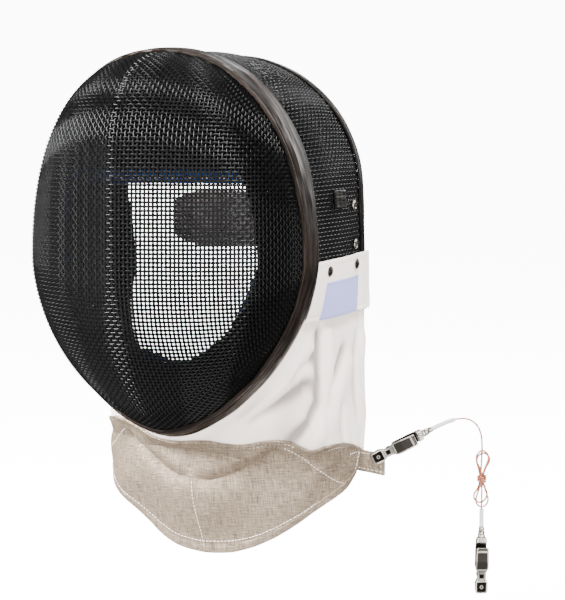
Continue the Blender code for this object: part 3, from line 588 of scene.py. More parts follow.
def close_tree(tree, source, given, end):
    """Realize Instances and Set Material, which every tree ends in."""
    real = add(tree, "GeometryNodeRealizeInstances", Geometry=source)
    shaded = add(tree, "GeometryNodeSetMaterial", Geometry=real, Material=given.outputs["Finish"])
    give(tree, end, Geometry=shaded)
    return tree


def wire_tree():
    """Wires along lines, each point lifted by its own share of the crimp."""
    tree, given, end = geometry_tree("woven_wire", (
        ("Radius", "Float"), ("Crimp", "Float"), ("Sides", "Int")))
    out, lift = (add(tree, "GeometryNodeInputNamedAttribute", data_type=kind, Name=name)
                 for kind, name in (("FLOAT_VECTOR", "out"), ("FLOAT", "lift")))
    height = add(tree, "ShaderNodeMath", operation="MULTIPLY", _0=lift.outputs["Attribute"],
                 _1=given.outputs["Crimp"])
    shift = add(tree, "ShaderNodeVectorMath", operation="SCALE", Scale=height,
                _0=out.outputs["Attribute"])
    moved = add(tree, "GeometryNodeSetPosition", Geometry=given.outputs["Geometry"], Offset=shift)
    curve = add(tree, "GeometryNodeMeshToCurve", Mesh=moved)
    profile = add(tree, "GeometryNodeCurvePrimitiveCircle", Resolution=given.outputs["Sides"],
                  Radius=given.outputs["Radius"])
    tube = add(tree, "GeometryNodeCurveToMesh", Fill_Caps=True, Curve=curve,
               Profile_Curve=profile.outputs["Curve"])
    return close_tree(tree, tube, given, end)


def stitch_tree():
    """Stitches: short round-ended bars set along lines, one after another."""
    tree, given, end = geometry_tree("stitch_row", (
        ("Pitch", "Float"), ("Stitch", "Float"), ("Thread", "Float")))
    curve = add(tree, "GeometryNodeMeshToCurve", Mesh=given.outputs["Geometry"])
    places = add(tree, "GeometryNodeCurveToPoints", mode="LENGTH", Curve=curve,
                 Length=given.outputs["Pitch"])
    bead = add(tree, "GeometryNodeMeshUVSphere", Segments=6, Rings=4, Radius=0.5)
    thick = add(tree, "ShaderNodeCombineXYZ", X=given.outputs["Thread"],
                Y=given.outputs["Thread"], Z=given.outputs["Stitch"])
    turn = add(tree, "FunctionNodeAlignRotationToVector", axis="Z",
               Vector=places.outputs["Tangent"])
    bars = add(tree, "GeometryNodeInstanceOnPoints", Points=places.outputs["Points"],
               Instance=bead.outputs["Mesh"], Rotation=turn, Scale=thick)
    return close_tree(tree, bars, given, end)


def grow(name, mesh, tree, finish, **values):
    """The plain mesh that a tree makes from a starting mesh, as an object."""
    made = new_object(name, mesh)
    modifier = made.modifiers.new(tree, "NODES")
    modifier.node_group = TREES[tree]
    values["Finish"] = FINISH[finish]
    for item in TREES[tree].interface.items_tree:
        if item.in_out == "INPUT" and item.name in values:
            modifier[item.identifier] = values[item.name]
    made.update_tag()
    graph = bpy.context.evaluated_depsgraph_get()
    grown = bpy.data.meshes.new_from_object(made.evaluated_get(graph))
    made.modifiers.remove(modifier)
    made.data = grown
    for attribute in ("out", "lift"):
        if attribute in grown.attributes:
            grown.attributes.remove(grown.attributes[attribute])
    grown.shade_smooth()
    return made


def dress(piece, body, slot, *nodes):
    """Say which body a piece rides on and which nodes it stands for; the material slot it is
    given is not used.
    """
    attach(piece, body)
    if nodes:
        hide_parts(*nodes)
    return piece


def sheet(piece, grid, held, rests_on):
    """Work out the runs of the grid that a sheet of cloth follows, and nothing more."""
    runs = grid_runs(grid)


def cloth_piece(name, grid, out, near, far, finish, slot, *nodes, lies=None, **more):
    """A wall of cloth over a grid, attached to the mask."""
    mesh = cloth_mesh(name, grid, out, near, far, **more)
    piece = dress(new_object(name, mesh, FINISH[finish]), "mask", slot, *nodes)
    if lies:
        sheet(piece, grid, *lies)
    return piece


def ring_piece(name, sections, finish, slot, *nodes, body="mask", closed=False, sharp=40):
    """A solid piece through sections."""
    mesh = ring_mesh(name, sections, closed, sharp)
    return dress(new_object(name, mesh, FINISH[finish]), body, slot, *nodes)


# ---- finishes
FINISH = {}


def start(name, base, roughness, metallic=0.0, **more):
    """A Principled material with its plain values; returns it, its tree and its shader."""
    made = bpy.data.materials.new(name)
    made.use_nodes = True
    made.diffuse_color = (*base[:3], 1.0)
    shader = give(made.node_tree, made.node_tree.nodes["Principled BSDF"],
                  Base_Color=(*base[:3], 1.0), Roughness=roughness, Metallic=metallic, **more)
    return made, made.node_tree, shader


def tone(base, factor):
    """A colour made lighter or darker."""
    return tuple(min(1.0, c * factor) for c in base[:3]) + (1.0,)


def finish_enamelled_wire(base):
    """Black stoving enamel over steel wire: nearly black, with a tight soft gleam."""
    made, tree, shader = start("enamelled_wire", base, 0.16, Specular_IOR_Level=0.09)
    where = add(tree, "ShaderNodeTexCoord")
    # patches of thicker and thinner enamel, 6 mm across
    patch = add(tree, "ShaderNodeTexNoise", Scale=160.0, Detail=3.0,
                Vector=where.outputs["Object"])
    rough = add(tree, "ShaderNodeMapRange", From_Min=0.35, From_Max=0.65, To_Min=0.10,
                To_Max=0.22, Value=patch)
    shade = add(tree, "ShaderNodeMix", data_type="RGBA", _0=patch, _6=tone(base, 0.7),
                _7=tone(base, 1.7))
    give(tree, shader, Roughness=rough, Base_Color=shade.outputs[2])
    return made


def finish_leather_cloth(name, base, lift):
    """Stretched leather cloth: nearly black, with long tan streaks of painted highlight,
    glossier, along its creases.
    """
    made, tree, shader = start(name, base, 0.40, Specular_IOR_Level=0.11,
                               Specular_Tint=(1.0, 0.84, 0.72, 1.0))
    where = add(tree, "ShaderNodeUVMap", uv_map="weave")
    # painted highlight streaks 60 mm long and 8 mm wide, from the noise that also creases the
    # band
    long = add(tree, "ShaderNodeMapping", Scale=(16.0, 120.0, 1.0), Vector=where)
    noise = add(tree, "ShaderNodeTexNoise", Scale=1.0, Detail=3.0, Roughness=0.55, Vector=long)
    streak = add(tree, "ShaderNodeMapRange", From_Min=0.40, From_Max=0.62,
                 interpolation_type="SMOOTHSTEP", Value=noise)
    # painted highlight: the streaks up to lift times the base colour, the rest three tenths of it
    shade = add(tree, "ShaderNodeMix", data_type="RGBA", _0=streak, _6=tone(base, 0.3),
                _7=tone(base, lift))
    rough = add(tree, "ShaderNodeMapRange", To_Min=0.55, To_Max=0.28, Value=streak)
    # grain cells of 1.1 mm
    grain = add(tree, "ShaderNodeTexVoronoi", Scale=900.0, Vector=where)
    folds = add(tree, "ShaderNodeBump", Strength=0.9, Distance=0.0022, Height=noise)
    bump = add(tree, "ShaderNodeBump", Strength=0.12, Distance=0.0002, Height=grain, Normal=folds)
    give(tree, shader, Base_Color=shade.outputs[2], Roughness=rough, Normal=bump)
    return made


def weave_height(tree, where, pitch):
    """Threads of a plain weave, a pitch apart both ways."""
    waves = [add(tree, "ShaderNodeTexWave", bands_direction=direction, Scale=tau / 20 / pitch,
                 Distortion=0.6, Detail=1.0, Vector=where).outputs["Fac"] for direction in "XY"]
    return add(tree, "ShaderNodeMath", operation="MULTIPLY", _0=waves[0], _1=waves[1])


def finish_cloth(name, base, pitch, roughness, shade, bump, sheen=0.2, gleam=0.2):
    """Woven cloth: its threads, a faint unevenness of colour and soft creases."""
    made, tree, shader = start(name, base, roughness, Sheen_Weight=sheen,
                               Sheen_Roughness=0.5, Specular_IOR_Level=gleam)
    where = add(tree, "ShaderNodeUVMap", uv_map="weave")
    place = add(tree, "ShaderNodeTexCoord")
    threads = weave_height(tree, where, pitch)
    # handled patches, 45 mm across
    patch = add(tree, "ShaderNodeTexNoise", Scale=22.0, Detail=5.0,
                Vector=place.outputs["Object"])
    both = add(tree, "ShaderNodeMath", operation="MULTIPLY_ADD", _0=threads, _1=0.5, _2=patch)
    # painted shade in the valleys of the folds, by the fold mark
    fold = add(tree, "ShaderNodeAttribute", attribute_name="fold")
    clean = add(tree, "ShaderNodeMix", data_type="RGBA", _0=both, _6=tone(base, shade),
                _7=tone(base, 1.04))
    shaded = add(tree, "ShaderNodeMix", data_type="RGBA", _0=fold.outputs["Fac"],
               _6=clean.outputs[2], _7=tone(base, 0.30))
    crease = add(tree, "ShaderNodeBump", Strength=0.25, Distance=0.0015, Height=patch)
    weave = add(tree, "ShaderNodeBump", Strength=bump, Distance=0.0003, Height=threads,
                Normal=crease)
    give(tree, shader, Base_Color=shaded.outputs[2], Normal=weave)
    return made


def finish_lame(name, base):
    """Conductive cloth: bright and dull slub threads both ways, with a metal gleam."""
    made, tree, shader = start(name, base, 0.45, 0.35, Specular_IOR_Level=0.4)
    where = add(tree, "ShaderNodeUVMap", uv_map="weave")
    threads = []
    # threads 0.8 mm apart, drawn coarse enough to show, whose slubs run for 11 mm
    for scale in ((1250.0, 90.0, 1.0), (90.0, 1250.0, 1.0)):
        along = add(tree, "ShaderNodeMapping", Scale=scale, Vector=where)
        threads.append(add(tree, "ShaderNodeTexNoise", Scale=1.0, Detail=2.0, Roughness=0.7,
                           Vector=along))
    crossed = add(tree, "ShaderNodeMath", operation="ADD", _0=threads[0], _1=threads[1])
    contrast = add(tree, "ShaderNodeMapRange", From_Min=0.74, From_Max=1.26, Value=crossed)
    shade = add(tree, "ShaderNodeMix", data_type="RGBA", _0=contrast, _6=tone(base, 0.30),
                _7=tone(base, 1.45))
    rough = add(tree, "ShaderNodeMapRange", To_Min=0.62, To_Max=0.34, Value=contrast)
    height = add(tree, "ShaderNodeMath", operation="ADD", _0=contrast,
                 _1=weave_height(tree, where, 0.0010))
    bump = add(tree, "ShaderNodeBump", Strength=0.5, Distance=0.0004, Height=height)
    give(tree, shader, Base_Color=shade.outputs[2], Roughness=rough, Normal=bump)
    return made


def finish_padding(name, base, band, width):
    """Black knit over foam, with a navy band sewn along the pad's inner edge."""
    made, tree, shader = start(name, base, 0.9, Specular_IOR_Level=0.05)
    where = add(tree, "ShaderNodeUVMap", uv_map="weave")
    away = add(tree, "ShaderNodeSeparateXYZ", _0=where)
    knit = weave_height(tree, where, 0.0012)
    ragged = add(tree, "ShaderNodeMath", operation="MULTIPLY_ADD", _0=knit, _1=0.0012,
                 _2=away.outputs["Y"])
    inside = add(tree, "ShaderNodeMath", operation="LESS_THAN", _0=ragged, _1=width)
    shade = add(tree, "ShaderNodeMix", data_type="RGBA", _0=inside, _6=base, _7=band)
    bump = add(tree, "ShaderNodeBump", Strength=0.4, Distance=0.0004, Height=knit)
    give(tree, shader, Base_Color=shade.outputs[2], Normal=bump)
    return made


def finish_plate(name, base, roughness):
    """Plated pressed metal: bright rims, and painted shade in what is sunk and stippled, on
    channel walls and in eyelet middles.
    """
    made, tree, shader = start(name, base, roughness, 1.0)
    where = add(tree, "ShaderNodeTexCoord")
    painted_shade = add(tree, "ShaderNodeAttribute", attribute_name="painted_shade").outputs["Fac"]
    # finger marks 4 mm across
    patch = add(tree, "ShaderNodeTexNoise", Scale=240.0, Detail=4.0,
                Vector=where.outputs["Object"])
    handled = add(tree, "ShaderNodeMix", data_type="RGBA", _0=patch, _6=tone(base, 0.50),
                  _7=tone(base, 1.15))
    # painted shade: the plate turns near black where its mark is high
    shaded = add(tree, "ShaderNodeMix", data_type="RGBA", _0=painted_shade, _6=handled.outputs[2],
               _7=linear("#120f0c"))
    dull = add(tree, "ShaderNodeMapRange", From_Min=0.35, From_Max=0.7, To_Min=roughness - 0.08,
               To_Max=roughness + 0.16, Value=patch)
    rough = add(tree, "ShaderNodeMath", operation="MULTIPLY_ADD", _0=painted_shade, _1=0.28, _2=dull)
    # stipple 0.45 mm apart
    dots = add(tree, "ShaderNodeTexVoronoi", Scale=2200.0, Vector=where.outputs["Object"])
    deep = add(tree, "ShaderNodeMath", operation="MULTIPLY", _0=dots, _1=painted_shade)
    bump = add(tree, "ShaderNodeBump", Strength=0.6, Distance=0.0002, Height=deep)
    give(tree, shader, Base_Color=shaded.outputs[2], Roughness=rough, Normal=bump)
    return made


def finish_copper_cord(base):
    """Clear insulation over twisted copper strands: a warm wet gleam."""
    made, tree, shader = start("clear_insulated_copper", base, 0.34, 0.55, Coat_Weight=0.6,
                               Coat_Roughness=0.12)
    where = add(tree, "ShaderNodeUVMap", uv_map="weave")
    # a strand comes round every 3.2 mm along the cord and every 1.57 mm round it
    lay = add(tree, "ShaderNodeMapping", Scale=(1 / 0.0032, 1 / 0.00157, 1.0), Vector=where)
    strand = add(tree, "ShaderNodeTexWave", bands_direction="DIAGONAL", Scale=tau / 20,
                 Vector=lay).outputs["Fac"]
    shade = add(tree, "ShaderNodeMix", data_type="RGBA", _0=strand, _6=tone(base, 0.55),
                _7=tone(base, 1.25))
    bump = add(tree, "ShaderNodeBump", Strength=0.3, Distance=0.0003, Height=strand)
    give(tree, shader, Base_Color=shade.outputs[2], Normal=bump)
    return made


def prepare_finishes():
    """Make every finish from the panel's colours."""
    colours = bpy.context.scene.mask_colours
    black = linear("#060606")
    FINISH.update(
        wire=finish_enamelled_wire(colours.enamel),
        trim=finish_leather_cloth("leather_cloth_trim", colours.trim, 3.0),
        # fainter painted highlight streaks than the trim: an even black fold
        binding=finish_leather_cloth("leather_cloth_binding", colours.binding, 1.8),
        # close warm-white twill, drawn a little coarse to show
        cloth=finish_cloth("white_twill", colours.cloth, 0.0011, 0.9, 0.93, 0.25),
        # polyester thread: dull, and a shade below the cloth
        thread=start("white_thread", tone(colours.cloth, 0.95), 0.8)[0],
        lame=finish_lame("lame_steel_cloth", colours.lame),
        padding=finish_padding("black_knit_padding", black, tone(colours.padding, 1), 0.0095),
        # soft knit that hardly gives any light back
        lining=finish_cloth("black_knit_lining", linear("#050505"), 0.0012, 0.95, 0.7, 0.3,
                            0.0, gleam=0.03),
        # coarse ribbed webbing, dusty grey-brown
        strap=finish_cloth("grey_brown_webbing", colours.strap, 0.0016, 0.75, 0.6, 0.7, 0.15),
        # violet thread: one shade deeper than the label it holds
        label_thread=start("violet_thread", linear("#5f5fa8"), 0.7)[0],
        # fine satin with a faint shine
        label=finish_cloth("woven_label_satin", colours.label, 0.0009, 0.55, 0.9, 0.2, 0.1),
        nickel=finish_plate("nickel_plated_steel", colours.nickel, 0.26),
        copper=finish_copper_cord(colours.copper),
        # soft tube clouded with age: the cord shows faintly through it
        sleeve=start("milky_clear_sleeve", linear("#f2f5f8"), 0.22,
                     Transmission_Weight=0.35, IOR=1.35)[0],
        # a brown-black patch with faint painted highlight streaks
        keeper=finish_leather_cloth("brown_leather_cloth", linear("#080605"), 1.3),
        # oxidised brass: dark brown with a metal edge; it also paints the shade in the screws'
        # slots
        black_snap=finish_plate("blackened_brass_and_slot_shade", linear("#3a2f2b"), 0.36),
    )


# ---- wires
SMALL_STEP = 1e-5
NET_WIDE, NET_TALL = 0.19, 0.24        # reach of the dome's net from its middle


def field_change(point):
    """Change of the dome's field over a small step each way; it points out of the dome."""
    return np.stack([dome_field(point + step) - dome_field(point - step)
                     for step in np.eye(3) * SMALL_STEP], axis=-1)


def net_step(first, second, guess, pitch):
    """Points on the dome a pitch away from two neighbours each, and whether they hold."""
    point = guess.copy()
    for _ in range(12):
        to_first, to_second = point - first, point - second
        misses = np.stack([(to_first ** 2).sum(-1) - pitch ** 2,
                           (to_second ** 2).sum(-1) - pitch ** 2,
                           dome_field(point)], axis=-1)
        matrix = np.stack([2 * to_first, 2 * to_second,
                           field_change(point) / (2 * SMALL_STEP)], axis=-2)
        matrix += np.eye(3) * 1e-9
        change = np.linalg.solve(matrix, misses[..., None])[..., 0]
        size = np.linalg.norm(change, axis=-1, keepdims=True)
        point = point - change * np.minimum(1, pitch * 0.7 / np.maximum(size, 1e-12))
    miss = (np.abs(np.linalg.norm(point - first, axis=-1) - pitch)
            + np.abs(np.linalg.norm(point - second, axis=-1) - pitch))
    return point, (miss < pitch * 0.02) & (np.abs(dome_field(point)) < 0.01)


def axis_line(angle, pitch, count):
    """Points a pitch apart on the dome from its middle, in one direction."""
    path = dome_point(np.full(4000, angle), np.linspace(0, 1, 4000))
    tail = path[-1] + np.array([[0, 1.0, 0]]) * np.linspace(0.001, 0.05, 50)[:, None]
    return places_along(np.concatenate([path, tail]), np.arange(count) * pitch)


def dome_net(pitch):
    """Crossings of the woven wires: a net of equal steps from the ridge and the middle.

    Returns an array of rows (from the chin up) by columns (right to left), with gaps
    where the net ends under the trim.
    """
    wide, tall = int(NET_WIDE / pitch), int(NET_TALL / pitch)
    net = np.full((2 * tall + 1, 2 * wide + 1, 3), np.nan)
    across = axis_line(pi / 2, pitch, wide + 1)
    for sense, angle in ((1, 0.0), (-1, pi)):
        quarter = np.full((tall + 1, wide + 1, 3), np.nan)
        quarter[0], quarter[:, 0] = across, axis_line(angle, pitch, tall + 1)
        for total in range(2, wide + tall + 1):
            i = np.arange(max(1, total - wide), min(tall, total - 1) + 1)
            j = total - i
            known = ~np.isnan(quarter[i - 1, j, 0]) & ~np.isnan(quarter[i, j - 1, 0])
            i, j = i[known], j[known]
            if not len(i):
                continue
            first, second = quarter[i - 1, j], quarter[i, j - 1]
            point, held = net_step(first, second, first + second - quarter[i-1, j-1], pitch)
            quarter[i[held], j[held]] = point[held]
        rows = tall + sense * np.arange(tall + 1)
        net[rows[:, None], wide + np.arange(wide + 1)[None]] = quarter
        net[rows[:, None], wide - np.arange(wide + 1)[None]] = quarter * [-1, 1, 1]
    return net


def under_trim(net):
    """Keep the net's points that lie ahead of the seam or a little under the trim."""
    _, upright, _ = dome_share(net[..., 0], net[..., 2])
    seam = TOP_Y + TRIM_SWEEP * (1 - upright)
    kept = net.copy()
    kept[~(net[..., 1] < seam - UNDER_TRIM)] = np.nan
    return kept


def runs_of(points, outs, lifts):
    """Split one wire's points into its unbroken stretches."""
    good = ~np.isnan(points[:, 0])
    lines, start = [], None
    for k, fine in enumerate(np.append(good, False)):
        if fine and start is None:
            start = k
        if not fine and start is not None:
            if k - start > 2:
                lines.append((points[start:k], outs[start:k], lifts[start:k]))
            start = None
    return lines


def weave(names, net, outs, wire, sides, node):
    """Both families of wires through a net's crossings, over and under by turns."""
    net = net - outs * MESH_WALL / 2
    rows, columns = net.shape[:2]
    turn = (-1.0) ** (np.arange(rows)[:, None] + np.arange(columns)[None])
    families = ((net.swapaxes(0, 1), outs.swapaxes(0, 1), turn.T), (net, outs, -turn))
    for name, family in zip(names, families):
        lines = [line for strand in zip(*family) for line in runs_of(*strand)]
        piece = grow(name, lines_mesh(name, *zip(*lines)), "woven_wire", "wire",
                     Radius=wire / 2, Crimp=wire / 2, Sides=sides)
        dress(piece, "mask", "black_wire", node)


class MASK_OT_wire_dome(bpy.types.Operator):
    """Weave the dome of the face from steel wire"""
    bl_idname = "mask.wire_dome"
    bl_label = "Wire dome"

    def execute(self, context):
        sizes = context.scene.mask_sizes
        net = under_trim(dome_net(sizes.pitch))
        weave(("face_wires_upright", "face_wires_level"), net,
              unit(field_change(np.nan_to_num(net))), sizes.wire, sizes.sides, "face_mesh")
        return {"FINISHED"}


class MASK_OT_wire_crown(bpy.types.Operator):
    """Weave the crown and sides, and line them with black knit"""
    bl_idname = "mask.wire_crown"
    bl_label = "Wire crown"

    def execute(self, context):
        sizes = context.scene.mask_sizes
        around = round((run_of(front_line(200))[-1] + run_of(rim_line(200))[-1])
                       / 2 / sizes.pitch)
        net = crown_grid(np.linspace(0.03, 0.992, round(CROWN_RUN / sizes.pitch)), around)
        weave(("crown_wires_deep", "crown_wires_round"), net, outside(net),
              sizes.crown_wire, sizes.sides, "crown_mesh")
        depths = np.linspace(0.03, 0.998, 34)
        grid = crown_grid(depths, 241)
        # the padded roll beside the wearer's right ear, along the rear rim
        low = (grid[..., 2] - ROLL_LOW_Z) / (ROLL_TOP_Z - ROLL_LOW_Z)
        roll = (np.clip(1 - np.abs(2 * low - 1) ** 3, 0, 1) * (grid[..., 0] < 0)
                * np.sqrt(np.clip(1 - ((depths - 0.90) / 0.09) ** 2, 0, 1))[:, None])
        cloth_piece("crown_lining", grid, outside(grid),
                    -CROWN_LINING_IN - LINING - ROLL_HEIGHT * roll, -CROWN_LINING_IN, "lining",
                    "binding_black", lies=("stretched", ["crown_wires_deep"]))
        return {"FINISHED"}


# ---- trims
TRIM_PROFILE = (  # place from front to rear in shares of the band, height over the seat
    (-1.00, 0.4), (-1.02, 1.2), (-0.985, 1.9), (-0.93, 2.25), (-0.86, 2.2), (-0.80, 1.75),
    (-0.76, 1.35), (-0.70, 1.65), (-0.55, 2.25), (-0.35, 2.7), (-0.12, 2.95), (0.12, 3.0),
    (0.35, 2.85), (0.58, 2.5), (0.78, 2.1), (0.92, 1.75), (0.99, 1.2), (1.0, 0.5),
)
TRIM_UNDERSIDE = (-1.00, -0.55, -0.12, 0.58, 1.0)  # places that have a point underneath
BINDING_PROFILE = (  # out of the crown and back from the rim, in millimetres
    (0.4, -6.5), (0.7, -6.8), (1.15, -6.5), (1.5, -5.3), (1.75, -3.2), (1.8, -1.2),
    (1.75, 0.3), (1.4, 1.3), (0.6, 1.9), (-0.8, 2.0), (-1.9, 1.6), (-2.4, 0.9),
    (-2.45, 0.4), (0.4, 0.4),
)


class MASK_OT_trims(bpy.types.Operator):
    """Fold the leather cloth trim over the seam and the binding over the rear rim"""
    bl_idname = "mask.trims"
    bl_label = "Trims"

    def execute(self, context):
        self.front_trim()
        self.rear_trim()
        return {"FINISHED"}

    def front_trim(self):
        """The band over the seam, with long creases where it is stretched round."""
        angles = turns_of(420)
        shares = np.linspace(0.80, 1.0, 500)
        line = trim_line(angles)
        away = unit(np.cross(np.roll(line, -1, axis=0) - np.roll(line, 1, axis=0), [0, 1, 0]))
        away *= np.sign((away * (line - [0, 0, CENTRE_Z])).sum(axis=1, keepdims=True))
        run = run_of(line)
        whole = run[-1] + np.linalg.norm(line[0] - line[-1])
        # seed, number of waves, and the most and fewest that go round the band
        slow, quick, middle, fine = (
            ripple(seed, count, whole / most, whole / fewest)
            for seed, count, most, fewest in ((3, 5, 9, 4), (5, 6, 26, 12), (7, 6, 15, 6),
                                              (9, 7, 40, 18)))
        blend = smoothstep(np.minimum(run, whole - run) / 0.05)
        sections = []
        for angle, seat, out, s, hold in zip(angles, line, away, run, blend):
            dome = dome_point(np.full(500, angle), shares)
            spread = TRIM_SPREAD * smoothstep((np.cos(angle) - 0.12) / 0.45)
            upper, under = [], []
            for place, height in TRIM_PROFILE:
                step = place * (TRIM_FRONT if place < 0 else TRIM_REAR + spread)
                step += 0.0005 * hold * quick(s) * (place < -0.7)
                wave = (0.55 * hump(place - 0.2 - 0.5 * slow(s), 0.20)
                        - 0.75 * hump(place + 0.25 - 0.40 * middle(s), 0.14)
                        - 0.45 * hump(place - 0.45 + 0.30 * quick(s), 0.12)
                        + 0.22 * fine(s) * (1 - place ** 2)) * hold
                base = seat + [0, step, 0]
                if step < 0:
                    base = dome[np.argmin(np.abs(dome[:, 1] - base[1]))]
                upper.append(base + out * (TRIM_SEAT + (height + wave * (height > 1.5)) * MM))
                if place in TRIM_UNDERSIDE:
                    under.append(base + out * TRIM_SEAT)
            sections.append(upper + under[::-1])
        ring_piece("front_trim_band", sections, "trim", "trim_leather", "front_trim",
                   closed=True, sharp=60)

    def rear_trim(self):
        """The binding folded over the rear rim, open at the bottom."""
        grid = crown_grid([0.86, 0.93, 1.0], 260)
        out, rim = outside(grid)[2], grid[2]
        back = unit(grid[2] - grid[1])
        slow = ripple(11, 6, 0.03, 0.11)
        sections = []
        for p, o, b, s in zip(rim, out, back, run_of(rim)):
            ease = 0.12 * slow(s)
            sections.append([p + (o * (height + ease * (height > 1)) + b * (step + ease)) * MM
                             for height, step in BINDING_PROFILE])
        ring_piece("rear_trim_binding", sections, "binding", "binding_black", "rear_trim",
                   sharp=50)


# ---- pads
def quilt(across, down, pitch_x, pitch_z):
    """Puffed height between sewn channels, from 0 in a channel to 1 between them."""
    height = np.ones_like(across)
    if pitch_x:
        height = height * np.abs(np.sin(pi * across / pitch_x)) ** 0.45
    if pitch_z:
        height = height * np.abs(np.sin(pi * down / pitch_z)) ** 0.45
    return height


def edge_round(rows, columns, reach):
    """Share of full thickness by how many grid steps a point is from the edge."""
    i = np.minimum(np.arange(rows), np.arange(rows)[::-1])[:, None]
    j = np.minimum(np.arange(columns), np.arange(columns)[::-1])[None]
    near = np.minimum(np.minimum(i, j) / reach, 1)
    return np.sqrt(1 - (1 - near) ** 2)


def pad(name, grid, node, channels, seamed=False):
    """A quilted pad behind the wires, puffed away from them."""
    runs = grid_runs(grid)
    puff = quilt(runs[..., 0], runs[..., 1], *channels)
    full = 0.30 + 0.70 * edge_round(*grid.shape[:2], 4)
    wall = PAD_WALL * full * (0.62 + 0.38 * puff)
    piece = cloth_piece(name, grid, outside(grid), -(FACE_PAD_SEAT + wall), -FACE_PAD_SEAT,
                        "padding", "pad_navy", node, bead=0.8)
    if seamed:
        face = grid - outside(grid) * (FACE_PAD_SEAT - 0.0003)
        sewn(f"{name}_stitches", [smooth_route(face[1], 0.001)], **PAD_STITCHES)


class MASK_OT_pads(bpy.types.Operator):
    """Pad the forehead, cheeks, chin and crown"""
    bl_idname = "mask.pads"
    bl_label = "Pads"

    def execute(self, context):
        self.forehead()
        self.cheeks_and_chin()
        self.face_lining()
        pad("crown_padding", crown_grid(np.linspace(0.060, 0.68, 36), 190), "crown_liner",
            (0.042, 0.0235))
        return {"FINISHED"}

    def forehead(self):
        """The pad across the top of the dome, down to a level edge."""
        top = CENTRE_Z + TRIM_RISE * PAD_INSET
        levels = FOREHEAD_LOW_Z + (top - FOREHEAD_LOW_Z) * np.sin(
            np.linspace(0, pi / 2, 44) * 0.92) / sin(pi / 2 * 0.92)
        reach = np.clip((levels - CENTRE_Z) / TRIM_RISE, 0, PAD_INSET * 0.985)
        span = TRIM_HALF_WIDTH * (PAD_INSET ** TRIM_UPPER_POWER
                                  - reach ** TRIM_UPPER_POWER) ** (1 / TRIM_UPPER_POWER)
        x = span[:, None] * np.sin(np.linspace(-pi / 2, pi / 2, 96))[None]
        grid = dome_at(x, np.repeat(levels[:, None], 96, axis=1))
        pad("forehead_padding", grid, "forehead_pad", (0.034, 0), True)

    def cheeks_and_chin(self):
        """The pad that follows the seam round from one cheek to the other."""
        first = radians(70)
        angles = np.linspace(first, tau - first, 150)
        inner = np.interp(np.degrees(pi - np.abs(angles - pi)), *zip(*CHEEK_EDGE))
        rows = np.linspace(0, 1, 24)
        grid = dome_point(angles[None], inner[None] + (PAD_INSET - inner)[None] * rows[:, None])
        pad("cheek_and_chin_padding", grid, "face_pad", (0.045, 0), True)

    def face_lining(self):
        """Black knit inside the dome's shoulder."""
        angles = np.linspace(0, tau, 241)
        rise = np.linspace(0.80, 0.02, 26)[:, None]
        flatness, shoulder = powers_at(angles)
        grid = dome_point(angles[None], (1 - rise ** shoulder) ** (1 / flatness))
        cloth_piece("face_lining", grid, outside(grid), -FACE_LINING_IN - LINING,
                    -FACE_LINING_IN, "lining", "binding_black",
                    lies=("stretched", ["face_wires_upright"]))


# ---- bib
def soft_profile():
    """The bib's front profile with its corners rounded off over 9 mm."""
    drops = np.linspace(0.26, 0.44, 361)
    raw = np.interp(drops, *zip(*FRONT_PROFILE))
    kernel = np.exp(-0.5 * (np.arange(-60, 61) * 0.0005 / 0.009) ** 2)
    padded = np.pad(raw, 60, mode="edge")
    return drops, np.convolve(padded, kernel / kernel.sum(), "valid")


def bib_ring(share, drop):
    """The bib's level outline: x and y; share 0 at the front, 1 at the rear edge."""
    front = TOP_Y + np.interp(drop, *soft_profile())
    rear = RIM_Y + RIM_LEAN * drop + BIB_REAR_SHIFT * smoothstep((drop - 0.2) / 0.1)
    bend = rear - BIB_SIDE_RUN
    turn = np.minimum(share / BIB_CORNER, 1.0) * pi / 2
    beyond = np.clip((share - BIB_CORNER) / (1 - BIB_CORNER), 0, 1)
    power = 2 / BIB_POWER
    x = BIB_HALF_WIDTH * np.sin(turn) ** power
    return x, bend - (bend - front) * np.cos(turn) ** power + (rear - bend) * beyond


def bib_top(share):
    """Where the white cloth starts: behind the trim, then along the crown's edge."""
    low = side_angle(CROWN_LOW_Z - 0.0006)
    angle = pi - (pi - low) * np.minimum(share / BIB_TOP_CORNER, 1.0)
    x, y, z = np.moveaxis(trim_line(angle), -1, 0)
    y = y + TRIM_REAR + TRIM_SEAT
    back = np.clip((share - BIB_TOP_CORNER) / (1 - BIB_TOP_CORNER), 0, 1)
    y = y + (RIM_Y + RIM_LEAN * CROWN_DROP - y) * back
    return x + (RIM_HALF_WIDTH - 0.001 - x) * smoothstep(back), y, z


def bib_point(share, fall):
    """Half of the bib (left). fall 0 at the top edge, 1 at the lame's edge, 2 at the hem."""
    x, y, z = bib_top(share)
    seam = SEAM_DROP + (SEAM_REAR_DROP - SEAM_DROP) * share ** 2
    round_share = (np.sqrt(share ** 2 + HEM_ROUND ** 2) - HEM_ROUND) / (1 - HEM_ROUND)
    hem = HEM_DROP - HEM_RISE * round_share
    upper, lower = np.clip(fall, 0, 1), np.clip(fall - 1, 0, 1)
    z = z + (TOP_Z - seam - z) * upper - (hem - seam) * lower
    ring_x, ring_y = bib_ring(share, TOP_Z - z)
    merge = upper ** 1.25
    x = x + (ring_x - x) * merge
    y = y + (ring_y - y) * merge
    x = x * (1 - BIB_WAIST * 4 * upper * (1 - upper) * np.sin(pi * np.minimum(share / 0.66, 1)))
    y = y - BIB_REAR_IN * smoothstep((share - 0.8) / 0.2) * smoothstep((fall - 0.7) / 0.4)
    return np.stack([x, y, z], axis=-1)


